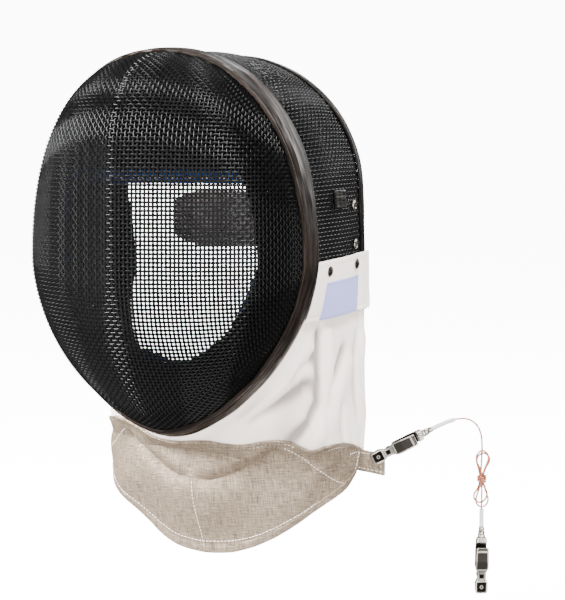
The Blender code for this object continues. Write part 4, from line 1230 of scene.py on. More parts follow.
def crease(share, fall, line, depth, width, ridge, behind):
    """Height in metres of one sharp fold: a valley along a line and a ridge beside it."""
    place = np.stack([share, fall], axis=-1) * BIB_SPAN
    line = np.array(line) * BIB_SPAN
    run = run_of(line)
    best = np.full(share.shape, 1.0)
    side, along = np.zeros(share.shape), np.zeros(share.shape)
    for k, (a, b) in enumerate(zip(line, line[1:])):
        way = b - a
        at = np.clip(((place - a) @ way) / (way @ way), 0, 1)
        off = place - (a + at[..., None] * way)
        far = np.hypot(off[..., 0], off[..., 1])
        nearer = far < best
        best = np.where(nearer, far, best)
        side = np.where(nearer, np.sign(way[1] * off[..., 0] - way[0] * off[..., 1]), side)
        along = np.where(nearer, (run[k] + at * (run[k + 1] - run[k])) / run[-1], along)
    live = smoothstep((along + 0.02) / 0.14) * smoothstep((1.05 - along) / 0.25)
    away = best * side / MM
    valley = np.exp(-np.abs(away / (1.55 * width)) ** 1.5)
    crest = hump(away - behind, abs(behind) * 0.8)
    return (ridge * crest - depth * valley) * live * MM


def fold_height(side, fall):
    """Folds of the bib, out from its plain surface; its right side hangs calmer."""
    share = np.abs(side)
    height = np.zeros_like(share)
    for line in CREASES:
        height = height + crease(share, fall, *line)
    hold = smoothstep(fall / 0.10) * (1 - smoothstep((fall - 0.98) / 0.30))
    smile = crease(share, fall, *SMILE)
    wide = 0.0016 * np.sin(side * 9.0 + 1.0) * smoothstep((fall - 0.5) / 0.6)
    wide = wide + 0.0012 * np.sin(side * 17.0 + fall * 5.0) * smoothstep(fall / 0.4)
    calm = 1 - 0.75 * smoothstep((-side - 0.22) / 0.15) * smoothstep((fall - 0.45) / 0.2)
    return (height * hold + smile) * calm + wide * smoothstep((1.0 - share) / 0.12)


def bib_base(side, fall):
    """The bib's plain surface; side runs from -1 to 1."""
    place = bib_point(np.abs(side), fall)
    fall = np.asarray(fall, float)
    taken_in = BIB_TAKEN_IN * smoothstep(-4 * side) * (
        smoothstep(fall / 0.6) + 1.2 * hump(fall - 0.75, 0.3))
    place[..., 0] *= np.sign(side) * (1 - taken_in)
    place[..., 2] -= BIB_TILT * place[..., 0] * smoothstep(fall)
    return place


def bib_surface(side, fall, lift=0.0):
    """Places on the folded bib, a lift out of it, and the plain directions out."""
    side, fall = np.broadcast_arrays(np.asarray(side, float), np.asarray(fall, float))
    step = 1e-3
    across = bib_base(side + step, fall) - bib_base(side - step, fall)
    down = bib_base(side, fall + step) - bib_base(side, fall - step)
    out = unit(np.cross(down, across))
    return bib_base(side, fall) + out * (fold_height(side, fall) + lift)[..., None], out


def lame_place(column, row):
    """Side and fall on the bib of a place on the lame; columns -1 to 1, rows 0 to 1."""
    reach = LAME_REAR[0] + (LAME_REAR[1] - LAME_REAR[0]) * row
    side = column * reach
    top = np.interp(column * LAME_REAR[0], *zip(*LAME_TOP))
    return side, top + (np.interp(np.abs(side), *zip(*LAME_HEM)) - top) * row


def sewn(name, lines, finish="thread", slot="white_cloth", **sizes):
    """Rows of stitches along lines, as one piece."""
    given = bpy.context.scene.mask_sizes
    values = {"Pitch": given.stitch * 1.25, "Stitch": given.stitch, "Thread": given.thread}
    piece = grow(name, lines_mesh(name, lines), "stitch_row", finish, **{**values, **sizes})
    dress(piece, "mask", slot)


class MASK_OT_bib(bpy.types.Operator):
    """Cut, fold and stitch the white bib and its lame lower half"""
    bl_idname = "mask.bib"
    bl_label = "Bib"

    def execute(self, context):
        self.white_cloth()
        self.lame()
        return {"FINISHED"}

    def white_cloth(self):
        """White cloth with bound rear edges, and its dark lining."""
        side, fall = np.meshgrid(np.linspace(-1, 1, 301), np.linspace(0.0, 1.06, 84))
        grid, _ = bib_surface(side, fall)
        edge = (1 - np.abs(side)) * 0.20
        hem = (0.0009 * smoothstep((0.0052 - edge) / 0.0010)
               - 0.0005 * hump(edge - HEM_WIDTH, 0.0007))
        white = cloth_piece("bib_white_cloth", grid, outside(grid), -CLOTH_WALL, hem, "cloth",
                            "white_cloth", "bib_white", lies=("hung", ["front_trim_band"]))
        # painted shade in the valleys of the folds, on the cloth's outer face
        shaded = np.zeros(len(white.data.vertices))
        shaded[side.size:2 * side.size] = smoothstep(-fold_height(side, fall) / 0.0042).ravel()
        mark_points(white.data, "fold", shaded)
        grid, _ = bib_surface(*np.meshgrid(np.linspace(-0.98, 0.98, 295),
                                           np.linspace(0.0, 0.93, 74)))
        cloth_piece("bib_lining", grid, outside(grid), -CLOTH_WALL - BIB_LINING_IN[0],
                    -CLOTH_WALL - BIB_LINING_IN[1], "lining", "binding_black",
                    lies=("hung", ["bib_white_cloth"]))
        # a bound edge 4.8 mm wide and 3.4 mm thick
        fall = np.linspace(0.0, 1.04, 120)
        turns = turns_of(14)
        for word, end in (("left", 1), ("right", -1)):
            edge, out = bib_surface(end * np.full(120, 0.992), fall, -CLOTH_WALL / 2)
            inner, _ = bib_surface(end * np.full(120, 0.955), fall, -CLOTH_WALL / 2)
            sections = [[p + r * (0.0024 * cos(t) - 0.0008) + o * 0.0017 * sin(t)
                         for t in turns] for p, r, o in zip(edge, unit(edge - inner), out)]
            ring_piece(f"bib_binding_{word}", sections, "cloth", "white_cloth")
        lines = [bib_surface(end * np.full(200, 0.962), np.linspace(0.02, 1.0, 200), 0.0001)[0]
                 for end in (1, -1)]
        sewn("bib_binding_stitches", lines)

    def lame(self):
        """Lame with a folded hem, its seams and their stitches."""
        column, row = np.meshgrid(np.linspace(-1, 1, 301), np.linspace(0, 1, 84))
        grid, _ = bib_surface(*lame_place(column, row))
        runs = grid_runs(grid)
        from_hem = runs[-1:, :, 1] - runs[..., 1]
        edge = np.minimum(from_hem, (1 - np.abs(column)) * 0.19)
        hem = 0.0006 * smoothstep((HEM_WIDTH + 0.0005 - edge) / 0.0010)
        groove = 0.0004 * hump(edge - HEM_WIDTH, 0.0008)
        top = 0.0004 * smoothstep((0.0035 - runs[..., 1]) / 0.0010)
        cloth_piece("bib_lame_cloth", grid, outside(grid), GAP,
                    GAP + LAME_WALL + hem - groove + top, "lame", "lame_cloth", "bib_lame",
                    lies=("hung", ["bib_white_cloth"]),
                    runs=np.stack([runs[..., 0], -grid[..., 2]], axis=-1))
        full, down, at = (np.linspace(*ends) for ends in
                          ((-1, 1, 600), (0.02, 0.86, 200), (0, 1, 200)))
        hem_row = 1 - np.interp(np.abs(full), (0, 0.5, 0.8, 1), (0.074, 0.09, 0.13, 0.16))
        # along the hem and the top edge
        places = [lame_place(full * 0.965, hem_row), lame_place(full, np.full(600, 0.03))]
        for end in (1, -1):
            # down a rear edge, and a seam that slants back to the hem
            places.append(lame_place(end * np.full(200, 0.955), down))
            places.append((end * np.interp(at, (0, 0.35, 1), (0.388, 0.480, 0.680)),
                           np.interp(at, (0, 0.35, 1), (0.90, 1.12, 1.52))))
        # the middle seam, from the smile fold down
        places.append((np.zeros(200), np.linspace(1.32, 1.93, 200)))
        lift = GAP + LAME_WALL + 0.0001
        sewn("lame_stitches", [bib_surface(*place, lift)[0] for place in places],
             slot="lame_cloth")


# ---- side tabs
def tab_surface(levels, rows, side):
    """The tab's inner face over the crown and the rear trim, and the directions out."""
    place, out = side_surface(levels, rows, side)
    place[..., 2] += TAB_SLOPE * (rows - 0.6)
    lift = GAP + OVER_RIM * smoothstep((rows - 0.80) / 0.10)
    return place + out * lift[None, :, None], out


class MASK_OT_side_tabs(bpy.types.Operator):
    """Sew the side tabs and the label"""
    bl_idname = "mask.side_tabs"
    bl_label = "Side tabs"

    def execute(self, context):
        self.tabs()
        self.label()
        return {"FINISHED"}

    def tabs(self):
        """White cloth, sewn along its long edges and its rounded rear end."""
        rows = np.linspace(TAB_FRONT, TAB_END, 90)
        levels = np.linspace(TAB_LOW_Z, TAB_TOP_Z, 60)
        from_rear = (TAB_END - rows) * RIM_BEHIND
        corner = TAB_CORNER - np.sqrt(np.clip(
            TAB_CORNER ** 2 - np.clip(TAB_CORNER - from_rear, 0, TAB_CORNER) ** 2, 0, None))
        for word, side in (("left", 1), ("right", -1)):
            place, out = tab_surface(levels, rows, side)
            for j, cut in enumerate(corner):
                kept = np.linspace(TAB_LOW_Z + min(cut, TAB_CORNER * 0.97), TAB_TOP_Z, 60)
                place[:, j] = between(kept, levels, place[:, j])
                out[:, j] = between(kept, levels, out[:, j])
            runs = grid_runs(place)
            edge = np.minimum(runs[..., 1], runs[-1:, :, 1] - runs[..., 1])
            edge = np.minimum(edge, runs[:, -1:, 0] - runs[..., 0])
            groove = 0.0005 * hump(edge - 0.0034, 0.0007)
            pucker = 0.0002 * np.sin(runs[..., 0] * 1400) * np.exp(-edge / 0.004)
            cloth_piece(f"side_tab_cloth_{word}", place, out, 0.0, CLOTH_WALL - groove + pucker,
                        "cloth", "white_cloth", f"side_tab_{word}",
                        lies=("stretched", ["crown_wires_deep"]))
            face = place + out * CLOTH_WALL
            sewn(f"side_tab_stitches_{word}", [face[4, :-3], face[55, :-3], face[4:56, -4]])

    def label(self):
        """The bare label, sewn to the left tab all round."""
        place, out = tab_surface(np.linspace(LABEL_LOW_Z, LABEL_TOP_Z, 24),
                                 np.linspace(LABEL_FRONT, LABEL_END, 40), 1)
        seat = CLOTH_WALL + GAP
        cloth_piece("woven_label", place, out, seat, seat + LABEL_WALL, "label",
                    "label_lavender", "label_patch", lies=("laid", ["side_tab_cloth_left"]))
        face = place + out * (seat + LABEL_WALL)
        sewn("label_stitches", [face[1], face[-2], face[1:-1, 1], face[1:-1, -2]],
             "label_thread", "label_lavender", **LABEL_STITCHES)


# ---- back strap
class MASK_OT_back_strap(bpy.types.Operator):
    """Bow the back strap round behind the head"""
    bl_idname = "mask.back_strap"
    bl_label = "Back strap"

    def execute(self, context):
        depths = np.linspace(0.76, 1.0, 9)
        place, out = side_surface([STRAP_MID_Z], depths, 1)
        seated = place[0] - out[0] * (MESH_WALL + GAP + 0.0004 + STRAP_WALL / 2)
        seated[:, 2] = STRAP_MID_Z
        first = seated[-1]
        turns = np.linspace(0, STRAP_END_TURN, 90)[1:]
        bow = np.stack([first[0] * np.cos(turns), first[1] + STRAP_BOW * np.sin(turns),
                        np.full(len(turns), STRAP_MID_Z)], axis=1)
        path = spaced(np.concatenate([seated, bow]), 120)
        along = np.gradient(path, axis=0)
        out = unit(np.cross(along, [0, 0, 1.0]))
        tip = (run_of(path)[-1] - run_of(path)) / (STRAP_HEIGHT / 2)
        half = STRAP_HEIGHT / 2 * np.minimum(1, np.sqrt(np.clip(tip, 0.0, 1)) * 0.5 + 0.5)
        rows = np.linspace(-1, 1, 20)
        grid = path[None] + rows[:, None, None] * half[None, :, None] * np.array([0, 0, 1.0])
        cloth_piece("back_strap_webbing", grid, np.broadcast_to(out, grid.shape),
                    -STRAP_WALL / 2, STRAP_WALL / 2, "strap", "strap_grey", "back_strap",
                    lies=("stretched", ["rear_trim_binding"]))
        return {"FINISHED"}


# ---- snaps, rivets and keepers
# Radius and height of turned parts, in millimetres
SNAP = ((4.0, 0.0), (4.1, 0.45), (3.8, 0.8), (3.2, 0.85), (2.9, 0.6), (2.5, 0.95),
        (1.9, 1.5), (1.0, 1.85), (0.3, 1.95))
EYELET = ((4.1, 0.0), (4.2, 0.5), (3.9, 1.0), (3.4, 1.35), (2.8, 1.45), (2.3, 1.2),
          (2.0, 0.7), (1.8, 0.35), (0.4, 0.3))
SCREW = ((2.2, 0.0), (2.25, 0.5), (2.0, 0.85), (1.4, 1.05), (0.5, 1.12))
PIVOT_PIN = ((1.1, -4.1), (1.35, -4.0), (1.35, -3.65), (0.9, -3.6), (0.9, 3.6),
             (1.35, 3.65), (1.35, 4.0), (1.1, 4.1))
# the last column is the radius within which shade is painted in the sunk middle
STUDS = (  # level, depth on the crown's side, seat, profile, finish, radius of the dark hole
    ("snap_front", -0.1570, 0.30, GAP + CLOTH_WALL, SNAP, "black_snap", 0.0),
    ("snap_rear", -0.1545, 0.76, GAP + CLOTH_WALL + 0.0009, SNAP, "black_snap", 0.0),
    ("rivet_upper", -0.1080, 0.79, WIRES_OUT, EYELET, "nickel", 2.1),
    ("rivet_lower", -0.1390, 0.79, WIRES_OUT, EYELET, "nickel", 2.1),
)
KEEPER_LEVELS, KEEPER_DEPTHS = (-0.1085, -0.0955), (0.430, 0.605)
KEEPER_WALL, KEEPER_GROOVE, KEEPER_POINTS = 0.0012, 0.00035, 15


def turned(name, centre, axis, profile, finish, *nodes, sides=36, dark=0.0):
    """A solid of revolution, with shade painted within a dark radius."""
    axis = unit(np.asarray(axis, float))
    first = unit(np.cross(axis, [0.31, 0.17, 0.93]))
    second = np.cross(axis, first)
    turns = turns_of(sides)
    sections = [[centre + (axis * height + radius * (first * cos(t) + second * sin(t))) * MM
                 for t in turns] for radius, height in profile]
    piece = ring_piece(name, sections, finish, "nickel", *nodes, sharp=35)
    if dark:
        # painted shade in the sunk middle, within the dark radius
        shade_marks = [1.0 if radius < dark else 0.0 for radius, _ in profile for _ in turns]
        mark_points(piece.data, "painted_shade", shade_marks + [0.0, 1.0])
    return piece


class MASK_OT_studs(bpy.types.Operator):
    """Set the snaps of the side tabs, the strap's rivets and the square keepers"""
    bl_idname = "mask.studs"
    bl_label = "Snaps and rivets"

    def execute(self, context):
        for side_name, side in (("left", 1), ("right", -1)):
            for word, level, depth, seat, profile, finish, dark in STUDS:
                place, out = place_on_side(level, depth, side)
                turned(f"{word}_{side_name}_cap", place + out * seat, out, profile, finish,
                       f"{word}_{side_name}", dark=dark)
            place, out = side_surface(np.linspace(*KEEPER_LEVELS, KEEPER_POINTS),
                                      np.linspace(*KEEPER_DEPTHS, KEEPER_POINTS), side)
            at = np.arange(KEEPER_POINTS)
            grooves = KEEPER_GROOVE * (hump(at - 4.5, 0.9) + hump(at - 9.5, 0.9))
            cloth_piece(f"side_keeper_{side_name}", place, out, WIRES_OUT,
                        WIRES_OUT + KEEPER_WALL - grooves[None] * np.ones((KEEPER_POINTS, 1)),
                        "keeper", "binding_black", f"side_patch_{side_name}")
        return {"FINISHED"}


# ---- contact tab and clips
UP = np.array([0.0, 0.0, 1.0])
CLIP_DIRECTION = np.array([0.8788, 0.4773, 0.0])    # level direction of tab and clip A
CLIP_FACE = np.array([0.4773, -0.8788, 0.0])        # out of the tab's face, to the front
CONTACT_SEAT = np.array([BIB_HALF_WIDTH + 0.0032, 0.0430, -0.3150])
CONTACT_BEND, CONTACT_HEIGHT, CONTACT_WALL = 0.012, 0.0165, 0.0014
CONTACT_FLAT, CONTACT_REACH = 0.018, 0.0105  # its runs before and after the bend
CONTACT_FALL, CONTACT_CURL = 0.24, 0.0012    # how it sinks and curls towards its end
CLIP_A_LEVEL = -0.3168
CLIP_LENGTH, CLIP_AXIS_RISE = 0.0550, radians(27)
# The clip's lengths are in millimetres, from the jaw's tip
JAW_END, PANEL_START, PANEL_END = 10.3, 19.4, 35.7  # along the lever's face
GROOVES, GROOVE_HALF = (36.75, 38.1), 0.48
DIMPLE_ALONG, DIMPLE_RADIUS = 5.3, 1.15
SLOT_ALONG, SLOT_HALF_LENGTH, SLOT_HALF_WIDTH = 14.3, 2.0, 1.8
LEVER_RIM, RIM_RISE, SUNK = 1.05, 0.42, 0.20        # rim's width and height, depth of cuts
SCREW_ALONG, PIN_ALONG, CHANNEL_WALL = 43.7, 16, 0.5
SPRING_TURNS, SPRING_RADIUS, SPRING_HALF, SPRING_WIRE = 5.5, 1.25, 2.1, 0.27
# Pressed channels: along, half width, back, edge
CLIP_BODY = (
    (0, 3.6, -2.7, -1.1), (0.6, 4.2, -3.1, -1.0), (2.5, 4.7, -3.4, -1.0),
    (8.6, 4.9, -3.5, -1.0), (10.6, 4.0, -3.6, -1.1), (12.2, 2.95, -3.7, -1.0),
    (13.4, 2.9, -3.8, 0.6), (14.4, 2.9, -3.9, 1.5), (17.6, 2.9, -4.1, 1.5),
    (18.8, 2.9, -4.2, 0.4), (19.8, 4.0, -4.2, -1.4), (21.4, 4.9, -4.2, -2.2),
    (34, 4.8, -3.6, -1.2), (40.6, 4.6, -3.0, -0.2),
)
CLIP_LEVER = (
    (0, 3.7, 2.5, 1.0), (0.6, 4.3, 2.9, 1.0), (2.5, 4.8, 3.3, 1.0), (8.8, 5.0, 3.5, 1.0),
    (10.4, 4.3, 3.5, 1.1), (12.0, 3.6, 3.6, 0.9), (13.6, 3.5, 3.8, -0.2),
    (14.6, 3.5, 4.0, -1.0), (17.4, 3.5, 4.5, -1.0), (18.6, 3.7, 4.9, 0.6),
    (20.0, 4.8, 5.5, 2.6), (21.5, 5.2, 6.0, 3.6), (27.0, 5.2, 7.9, 6.1),
    (34.0, 5.0, 8.7, 7.4), (38.2, 4.8, 9.1, 8.0), (39.0, 4.3, 9.1, 8.1),
)
# Painted shade round a channel's outline: light on its toothed edges, dark on its outer walls and
# back, darkest inside
CHANNEL_SHADE = [0.1, 0.85, 0.85, 0.7, 0.7, 0.85, 0.85, 0.1, 0.1, 1.0, 1.0, 0.1]
# Rounded solids: along, half width, half depth, middle height
SCREW_SEAT = (
    (39.8, 4.2, 1.1, -1.9), (40.4, 4.5, 1.9, -1.1), (41.6, 4.6, 2.5, -0.3),
    (42.4, 4.6, 2.55, -0.2), (45.4, 4.4, 2.4, -0.1), (46.0, 4.0, 2.1, 0.0),
)
CRIMP_TAIL = (
    (46.1, 2.5, 2.0, 0.0), (46.5, 3.1, 2.5, 0.0), (48.0, 3.1, 2.5, 0.0),
    (48.7, 2.5, 1.9, -0.1), (49.3, 2.9, 2.4, 0.0), (51.0, 2.6, 2.3, 0.0),
    (51.7, 2.1, 1.8, -0.1), (52.4, 2.4, 2.2, 0.0), (54.4, 2.15, 2.1, 0.0),
    (55.0, 1.9, 1.9, 0.0),
)


def contact_arc(count):
    """Where the contact tab turns out from the lame's side."""
    turn = pi / 2 - np.arctan2(CLIP_DIRECTION[1], CLIP_DIRECTION[0])
    turns = np.linspace(0, turn, count)
    arc = np.stack([1 - np.cos(turns), np.sin(turns), np.zeros(count)], axis=1)
    return CONTACT_SEAT + [0, CONTACT_FLAT, 0] + CONTACT_BEND * arc


class ClipPlaces:
    """Places on one clip: along it from the jaw tip, out of its face and across it."""

    def __init__(self, word, tip, along, face):
        self.word, self.tip, self.along, self.face = word, tip, along, face
        self.across = np.cross(along, face)

    def at(self, along, out, across):
        """Places so far along, out and across, in millimetres."""
        parts = [np.asarray(v, float)[..., None] * way * MM for v, way in
                 ((along, self.along), (out, self.face), (across, self.across))]
        return self.tip + parts[0] + parts[1] + parts[2]

    def channel(self, name, table, body, node):
        """A pressed channel with toothed jaw edges."""
        u = np.arange(0, table[-1][0] + 0.01, 0.4)      # places along the channel
        half, back, edge = (np.interp(u, *zip(*((row[0], row[k]) for row in table)))
                            for k in (1, 2, 3))
        sense, wall = np.sign(edge[0] - back[0]), CHANNEL_WALL
        edge = edge - 0.32 * sense * (np.arange(len(u)) % 3 == 1) * (u < 9.4)
        sections = []
        for along, h, b, e in zip(u, half, back, edge):
            outline = ((-h, e), (-h, b + 0.7 * sense), (-h + 0.22, b + 0.22 * sense),
                       (-h + 0.7, b), (h - 0.7, b), (h - 0.22, b + 0.22 * sense),
                       (h, b + 0.7 * sense), (h, e), (h - wall, e),
                       (h - wall, b + wall * sense), (wall - h, b + wall * sense),
                       (wall - h, e))
            sections.append([self.at(along, s, w) for w, s in outline])
        piece = ring_piece(f"{self.word}_{name}", sections, "nickel", "nickel",
                           f"{self.word}_{node}", body=body, sharp=30)
        mark_points(piece.data, "painted_shade", CHANNEL_SHADE * len(sections) + [0.5, 0.5])
        return piece

    def lever_face(self, body):
        """The lever's raised rims, jaw dimple, slot, sunk panel and grooves."""
        u, w = np.meshgrid(np.linspace(0.25, 38.8, 130), np.linspace(-1, 1, 31),
                           indexing="ij")
        table = list(zip(*CLIP_LEVER))
        half = np.interp(u, table[0], table[1]) - 0.2
        x = w * half
        side = half - np.abs(x)
        jaw = np.minimum(side, np.minimum(u - 0.25, JAW_END - u))
        panel = np.minimum(side, np.minimum(u - PANEL_START, PANEL_END - u))
        sunk = np.where(u < JAW_END, jaw,
                        np.where((u > PANEL_START) & (u < PANEL_END), panel, side - 0.4))
        rim = smoothstep((LEVER_RIM - sunk) / 0.35)
        # painted shade: darkest in the sunk jaw, panel, slot and grooves, lighter on the neck and
        # dimple, none on the rims or past the panel
        lift, painted_shade = RIM_RISE * rim, np.where(u < JAW_END, 1.0, 0.93) * (1 - rim)
        neck = (u >= JAW_END) & (u <= PANEL_START)
        painted_shade = np.where(neck, 0.45 * (1 - rim), painted_shade)
        slot = neck * (smoothstep((SLOT_HALF_LENGTH - np.abs(u - SLOT_ALONG)) / 0.3)
                       * smoothstep((SLOT_HALF_WIDTH - np.abs(x)) / 0.3))
        lift, painted_shade = lift - SUNK * slot, np.maximum(painted_shade, slot)
        dimple = hump(np.hypot(u - DIMPLE_ALONG, x) - DIMPLE_RADIUS, 0.32)
        lift, painted_shade = lift + 0.35 * dimple, painted_shade * (1 - 0.9 * dimple)
        bright = u > PANEL_END
        for middle in GROOVES:
            groove = smoothstep((GROOVE_HALF - np.abs(u - middle)) / 0.2) * (side > 0.4)
            lift, painted_shade = lift - SUNK * groove, np.maximum(painted_shade, groove)
            bright &= np.abs(u - middle) > 0.5
        painted_shade = np.where(bright, 0.05, painted_shade)
        grid = self.at(u, np.interp(u, table[0], table[2]) + 0.12, x)
        name, out = f"{self.word}_lever_face", np.broadcast_to(self.face, grid.shape)
        mesh = cloth_mesh(name, grid, out, -0.14 * MM, (0.14 + lift) * MM)
        shade_marks = np.zeros(len(mesh.vertices))
        shade_marks[painted_shade.size:2 * painted_shade.size] = painted_shade.ravel()
        mark_points(mesh, "painted_shade", shade_marks)
        return dress(new_object(name, mesh, FINISH["nickel"]), body, "nickel")

    def rounded_run(self, name, table, power, *nodes):
        """A solid through rounded sections; the power squares them."""
        turns = turns_of(28)
        c, s = (np.sign(v) * np.abs(v) ** (2 / power) for v in (np.cos(turns), np.sin(turns)))
        sections = [self.at(np.full(28, u), middle + deep * s, wide * c)
                    for u, wide, deep, middle in table]
        return ring_piece(f"{self.word}_{name}", sections, "nickel", "nickel", *nodes)

    def make(self, lever_body):
        """All the clip's pieces; the lever's two ride on the lever's own body."""
        word, pin = self.word, self.at(PIN_ALONG, 0, 0)
        # the screw's slot, a dark bar 3.4 mm long turned 33 degrees: painted shade where a slot
        # would be cut
        bar = [[self.at(SCREW_ALONG + a * 1.7 * 0.83 - b * 0.26 * 0.55, 3.2 + c,
                        a * 1.7 * 0.55 + b * 0.26 * 0.83)
                for b, c in ((-1, 0), (1, 0), (1, 0.2), (-1, 0.2))] for a in (-1, 1)]
        turns = np.linspace(0, tau * SPRING_TURNS, 160)[:, None]
        coil = pin + (self.along * np.cos(turns) * SPRING_RADIUS
                      + self.face * np.sin(turns) * SPRING_RADIUS
                      + self.across * np.linspace(-SPRING_HALF, SPRING_HALF, 160)[:, None]) * MM
        return [
            self.channel("pressed_body", CLIP_BODY, "mask", "body"),
            self.channel("pressed_lever", CLIP_LEVER, lever_body, "lever"),
            self.lever_face(lever_body),
            self.rounded_run("screw_seat", SCREW_SEAT, 7.0),
            turned(f"{word}_screw", self.at(SCREW_ALONG, 2.2, 0), self.face, SCREW, "nickel"),
            ring_piece(f"{word}_screw_slot", bar, "black_snap", "nickel"),
            turned(f"{word}_pivot_pin", pin, self.across, PIVOT_PIN, "nickel",
                   f"{word}_pin", sides=20),
            dress(grow(f"{word}_spring", lines_mesh(f"{word}_spring", [coil]), "woven_wire",
                       "nickel", Radius=SPRING_WIRE * MM, Crimp=0.0, Sides=8), "mask",
                  "nickel"),
            self.rounded_run("crimp_tail", CRIMP_TAIL, 2.6, f"{word}_tail"),
        ]


# Route of the lead from clip A's tail in the upright plane of the tab's face, in
# millimetres: along the clip's level direction, up
LEAD_ROUTE = ((0.0, 0.0), (4.5, 2.2), (9.0, 4.2), (13.5, 6.0), (18.0, 7.4), (22.5, 8.2),
              (27.0, 8.2), (31.2, 7.0), (34.9, 4.6), (37.7, 1.2), (39.5, -2.8),
              (40.5, -7.0), (40.9, -11.5), (41.0, -16.0))
# Five runs of the hank below the lead: across, out of the face, down
HANK_ROUTE = (
    (0.0, 0.0, 3.0), (-0.2, 0.1, 8.0), (-0.6, 0.5, 15.0), (-0.8, 0.8, 21.5),
    (-0.8, 0.8, 28.0), (-2.6, 1.4, 34.0), (-4.7, 1.7, 40.5), (-4.2, 1.7, 45.4),
    (-0.2, 1.7, 48.2), (4.0, 1.7, 45.6), (4.9, 1.7, 40.5), (2.7, 1.4, 34.0),
    (0.8, 0.8, 28.0), (0.8, 0.8, 21.5), (2.8, 1.4, 15.0), (4.8, 1.7, 9.5),
    (4.4, 1.7, 4.6), (0.4, 1.7, 1.6), (-3.8, 1.7, 4.2), (-4.8, 1.6, 9.0),
    (-3.3, 0.4, 15.0), (-1.6, -0.8, 21.5), (-1.6, -0.8, 28.0), (-3.2, -1.4, 33.5),
    (-6.0, -1.7, 38.0), (-5.6, -1.7, 42.2), (-1.6, -1.7, 45.0), (2.6, -1.7, 43.0),
    (4.6, -1.7, 38.0), (3.0, -1.4, 33.0), (1.6, -0.8, 28.0), (1.6, -0.8, 21.5),
    (3.6, -1.4, 16.0), (6.2, -1.7, 11.5), (5.9, -1.7, 7.2), (1.8, -1.7, 4.2),
    (-2.6, -1.7, 6.4), (-3.9, -1.6, 11.0), (-1.6, -1.2, 16.5), (0.0, -0.8, 21.5),
    (0.0, -0.8, 28.0), (0.1, -0.3, 36.0), (0.0, 0.0, 43.0), (0.0, 0.0, 50.4),
    (0.0, 0.0, 57.0), (0.0, 0.0, 64.4),
)
SLEEVE_A_RUN, SLEEVE_B_LENGTH, SLEEVE = 0.0200, 0.0140, 0.0036
TIE_TURNS, TIE_BELOW, TIE_STEP = 3.2, 0.0248, 0.0016   # wound round the hank's waist
TIE_HALF_WIDTH, TIE_HALF_DEPTH = 0.0033, 0.0026


def tube(name, path, width, finish, slot, *nodes, sides=16):
    """A round tube along a path, mapped along and round, that doesn't twist on its way."""
    along = unit(np.gradient(path, axis=0))
    first = np.zeros_like(path)
    way = unit(np.cross(along[0], CLIP_FACE))
    for k, tangent in enumerate(along):
        way = unit(way - tangent * (way @ tangent))
        first[k] = way
    second = np.cross(along, first)
    turns = turns_of(sides)[None, :, None]
    sections = path[:, None] + width / 2 * (first[:, None] * np.cos(turns)
                                            + second[:, None] * np.sin(turns))
    return ring_piece(name, sections, finish, slot, *nodes, sharp=50)


class MASK_OT_clips_and_cord(bpy.types.Operator):
    """Make the contact tab, both clips, and the sleeved cord with its tied hank"""
    bl_idname = "mask.clips_and_cord"
    bl_label = "Clips and cord"

    def execute(self, context):
        self.contact_tab()
        grip = contact_arc(2)[-1] + CLIP_DIRECTION * 0.0005
        tip = np.array([grip[0], grip[1], CLIP_A_LEVEL])
        along = CLIP_DIRECTION * cos(CLIP_AXIS_RISE) + UP * sin(CLIP_AXIS_RISE)
        ClipPlaces("clip_a", tip, along, CLIP_FACE).make("lever_a")
        self.cord(context.scene.mask_sizes, tip + along * CLIP_LENGTH)
        return {"FINISHED"}

    def contact_tab(self):
        """The lame tab that clip A grips."""
        arc = contact_arc(16)
        path = spaced(np.concatenate([[CONTACT_SEAT], arc,
                                      [arc[-1] + CLIP_DIRECTION * CONTACT_REACH]]), 70)
        path[:, 2] -= CONTACT_FALL * np.maximum(run_of(path) - 0.014, 0)
        along = np.gradient(path, axis=0)
        along[:, 2] = 0
        out = unit(np.cross(along, UP))
        rows = np.linspace(-1, 1, 18)[:, None, None]
        curl = CONTACT_CURL * smoothstep((run_of(path) - 0.034) / 0.012)
        grid = path[None] + rows * UP * CONTACT_HEIGHT / 2 - out[None] * (
            curl[None, :, None] * rows ** 2)
        cloth_piece("contact_tab_cloth", grid, np.broadcast_to(out, grid.shape),
                    -CONTACT_WALL / 2, CONTACT_WALL / 2, "lame", "lame_cloth", "contact_tab",
                    lies=("stretched", ["bib_lame_cloth"]))
        face = grid + out * (CONTACT_WALL / 2 + 0.0001)
        sewn("contact_tab_stitches", [face[2], face[15], face[2:16, -6]], slot="lame_cloth")

    def cord(self, sizes, start):
        """Lead, sleeves, tied hank and clip B, hanging from clip A's tail."""
        lead = np.array([start + (CLIP_DIRECTION * h + UP * v) * MM for h, v in LEAD_ROUTE])
        top = lead[-1] - UP * GAP
        hank = np.array([top + (CLIP_DIRECTION * a + CLIP_FACE * b - UP * c) * MM
                         for a, b, c in HANK_ROUTE])
        path = smooth_route(np.concatenate([lead, hank]), 0.0009)
        run = run_of(path)
        cord = tube("mask_cord", path, sizes.cord, "copper", "copper_wire", "cord_lead",
                    "cord_hank", sides=10)
        first = tube("clear_sleeve_a", path[run <= SLEEVE_A_RUN], SLEEVE, "sleeve",
                     "clear_sleeve", "sleeve_a")
        end = path[-1]
        last = tube("clear_sleeve_b", np.linspace(end + UP * SLEEVE_B_LENGTH, end, 20), SLEEVE,
                    "sleeve", "clear_sleeve", "sleeve_b")
        turns = np.linspace(0, tau * TIE_TURNS, 150)[:, None]
        wrap = (top - UP * TIE_BELOW + CLIP_DIRECTION * TIE_HALF_WIDTH * np.cos(turns)
                + CLIP_FACE * TIE_HALF_DEPTH * np.sin(turns)
                + UP * TIE_STEP * (turns / tau - TIE_TURNS / 2))
        tie = tube("cord_tie_turns", wrap, sizes.cord, "copper", "copper_wire", "cord_tie",
                   sides=10)
        clip = ClipPlaces("clip_b", end - UP * (GAP + CLIP_LENGTH), UP, CLIP_FACE)
        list(clip.make("lever_b"))


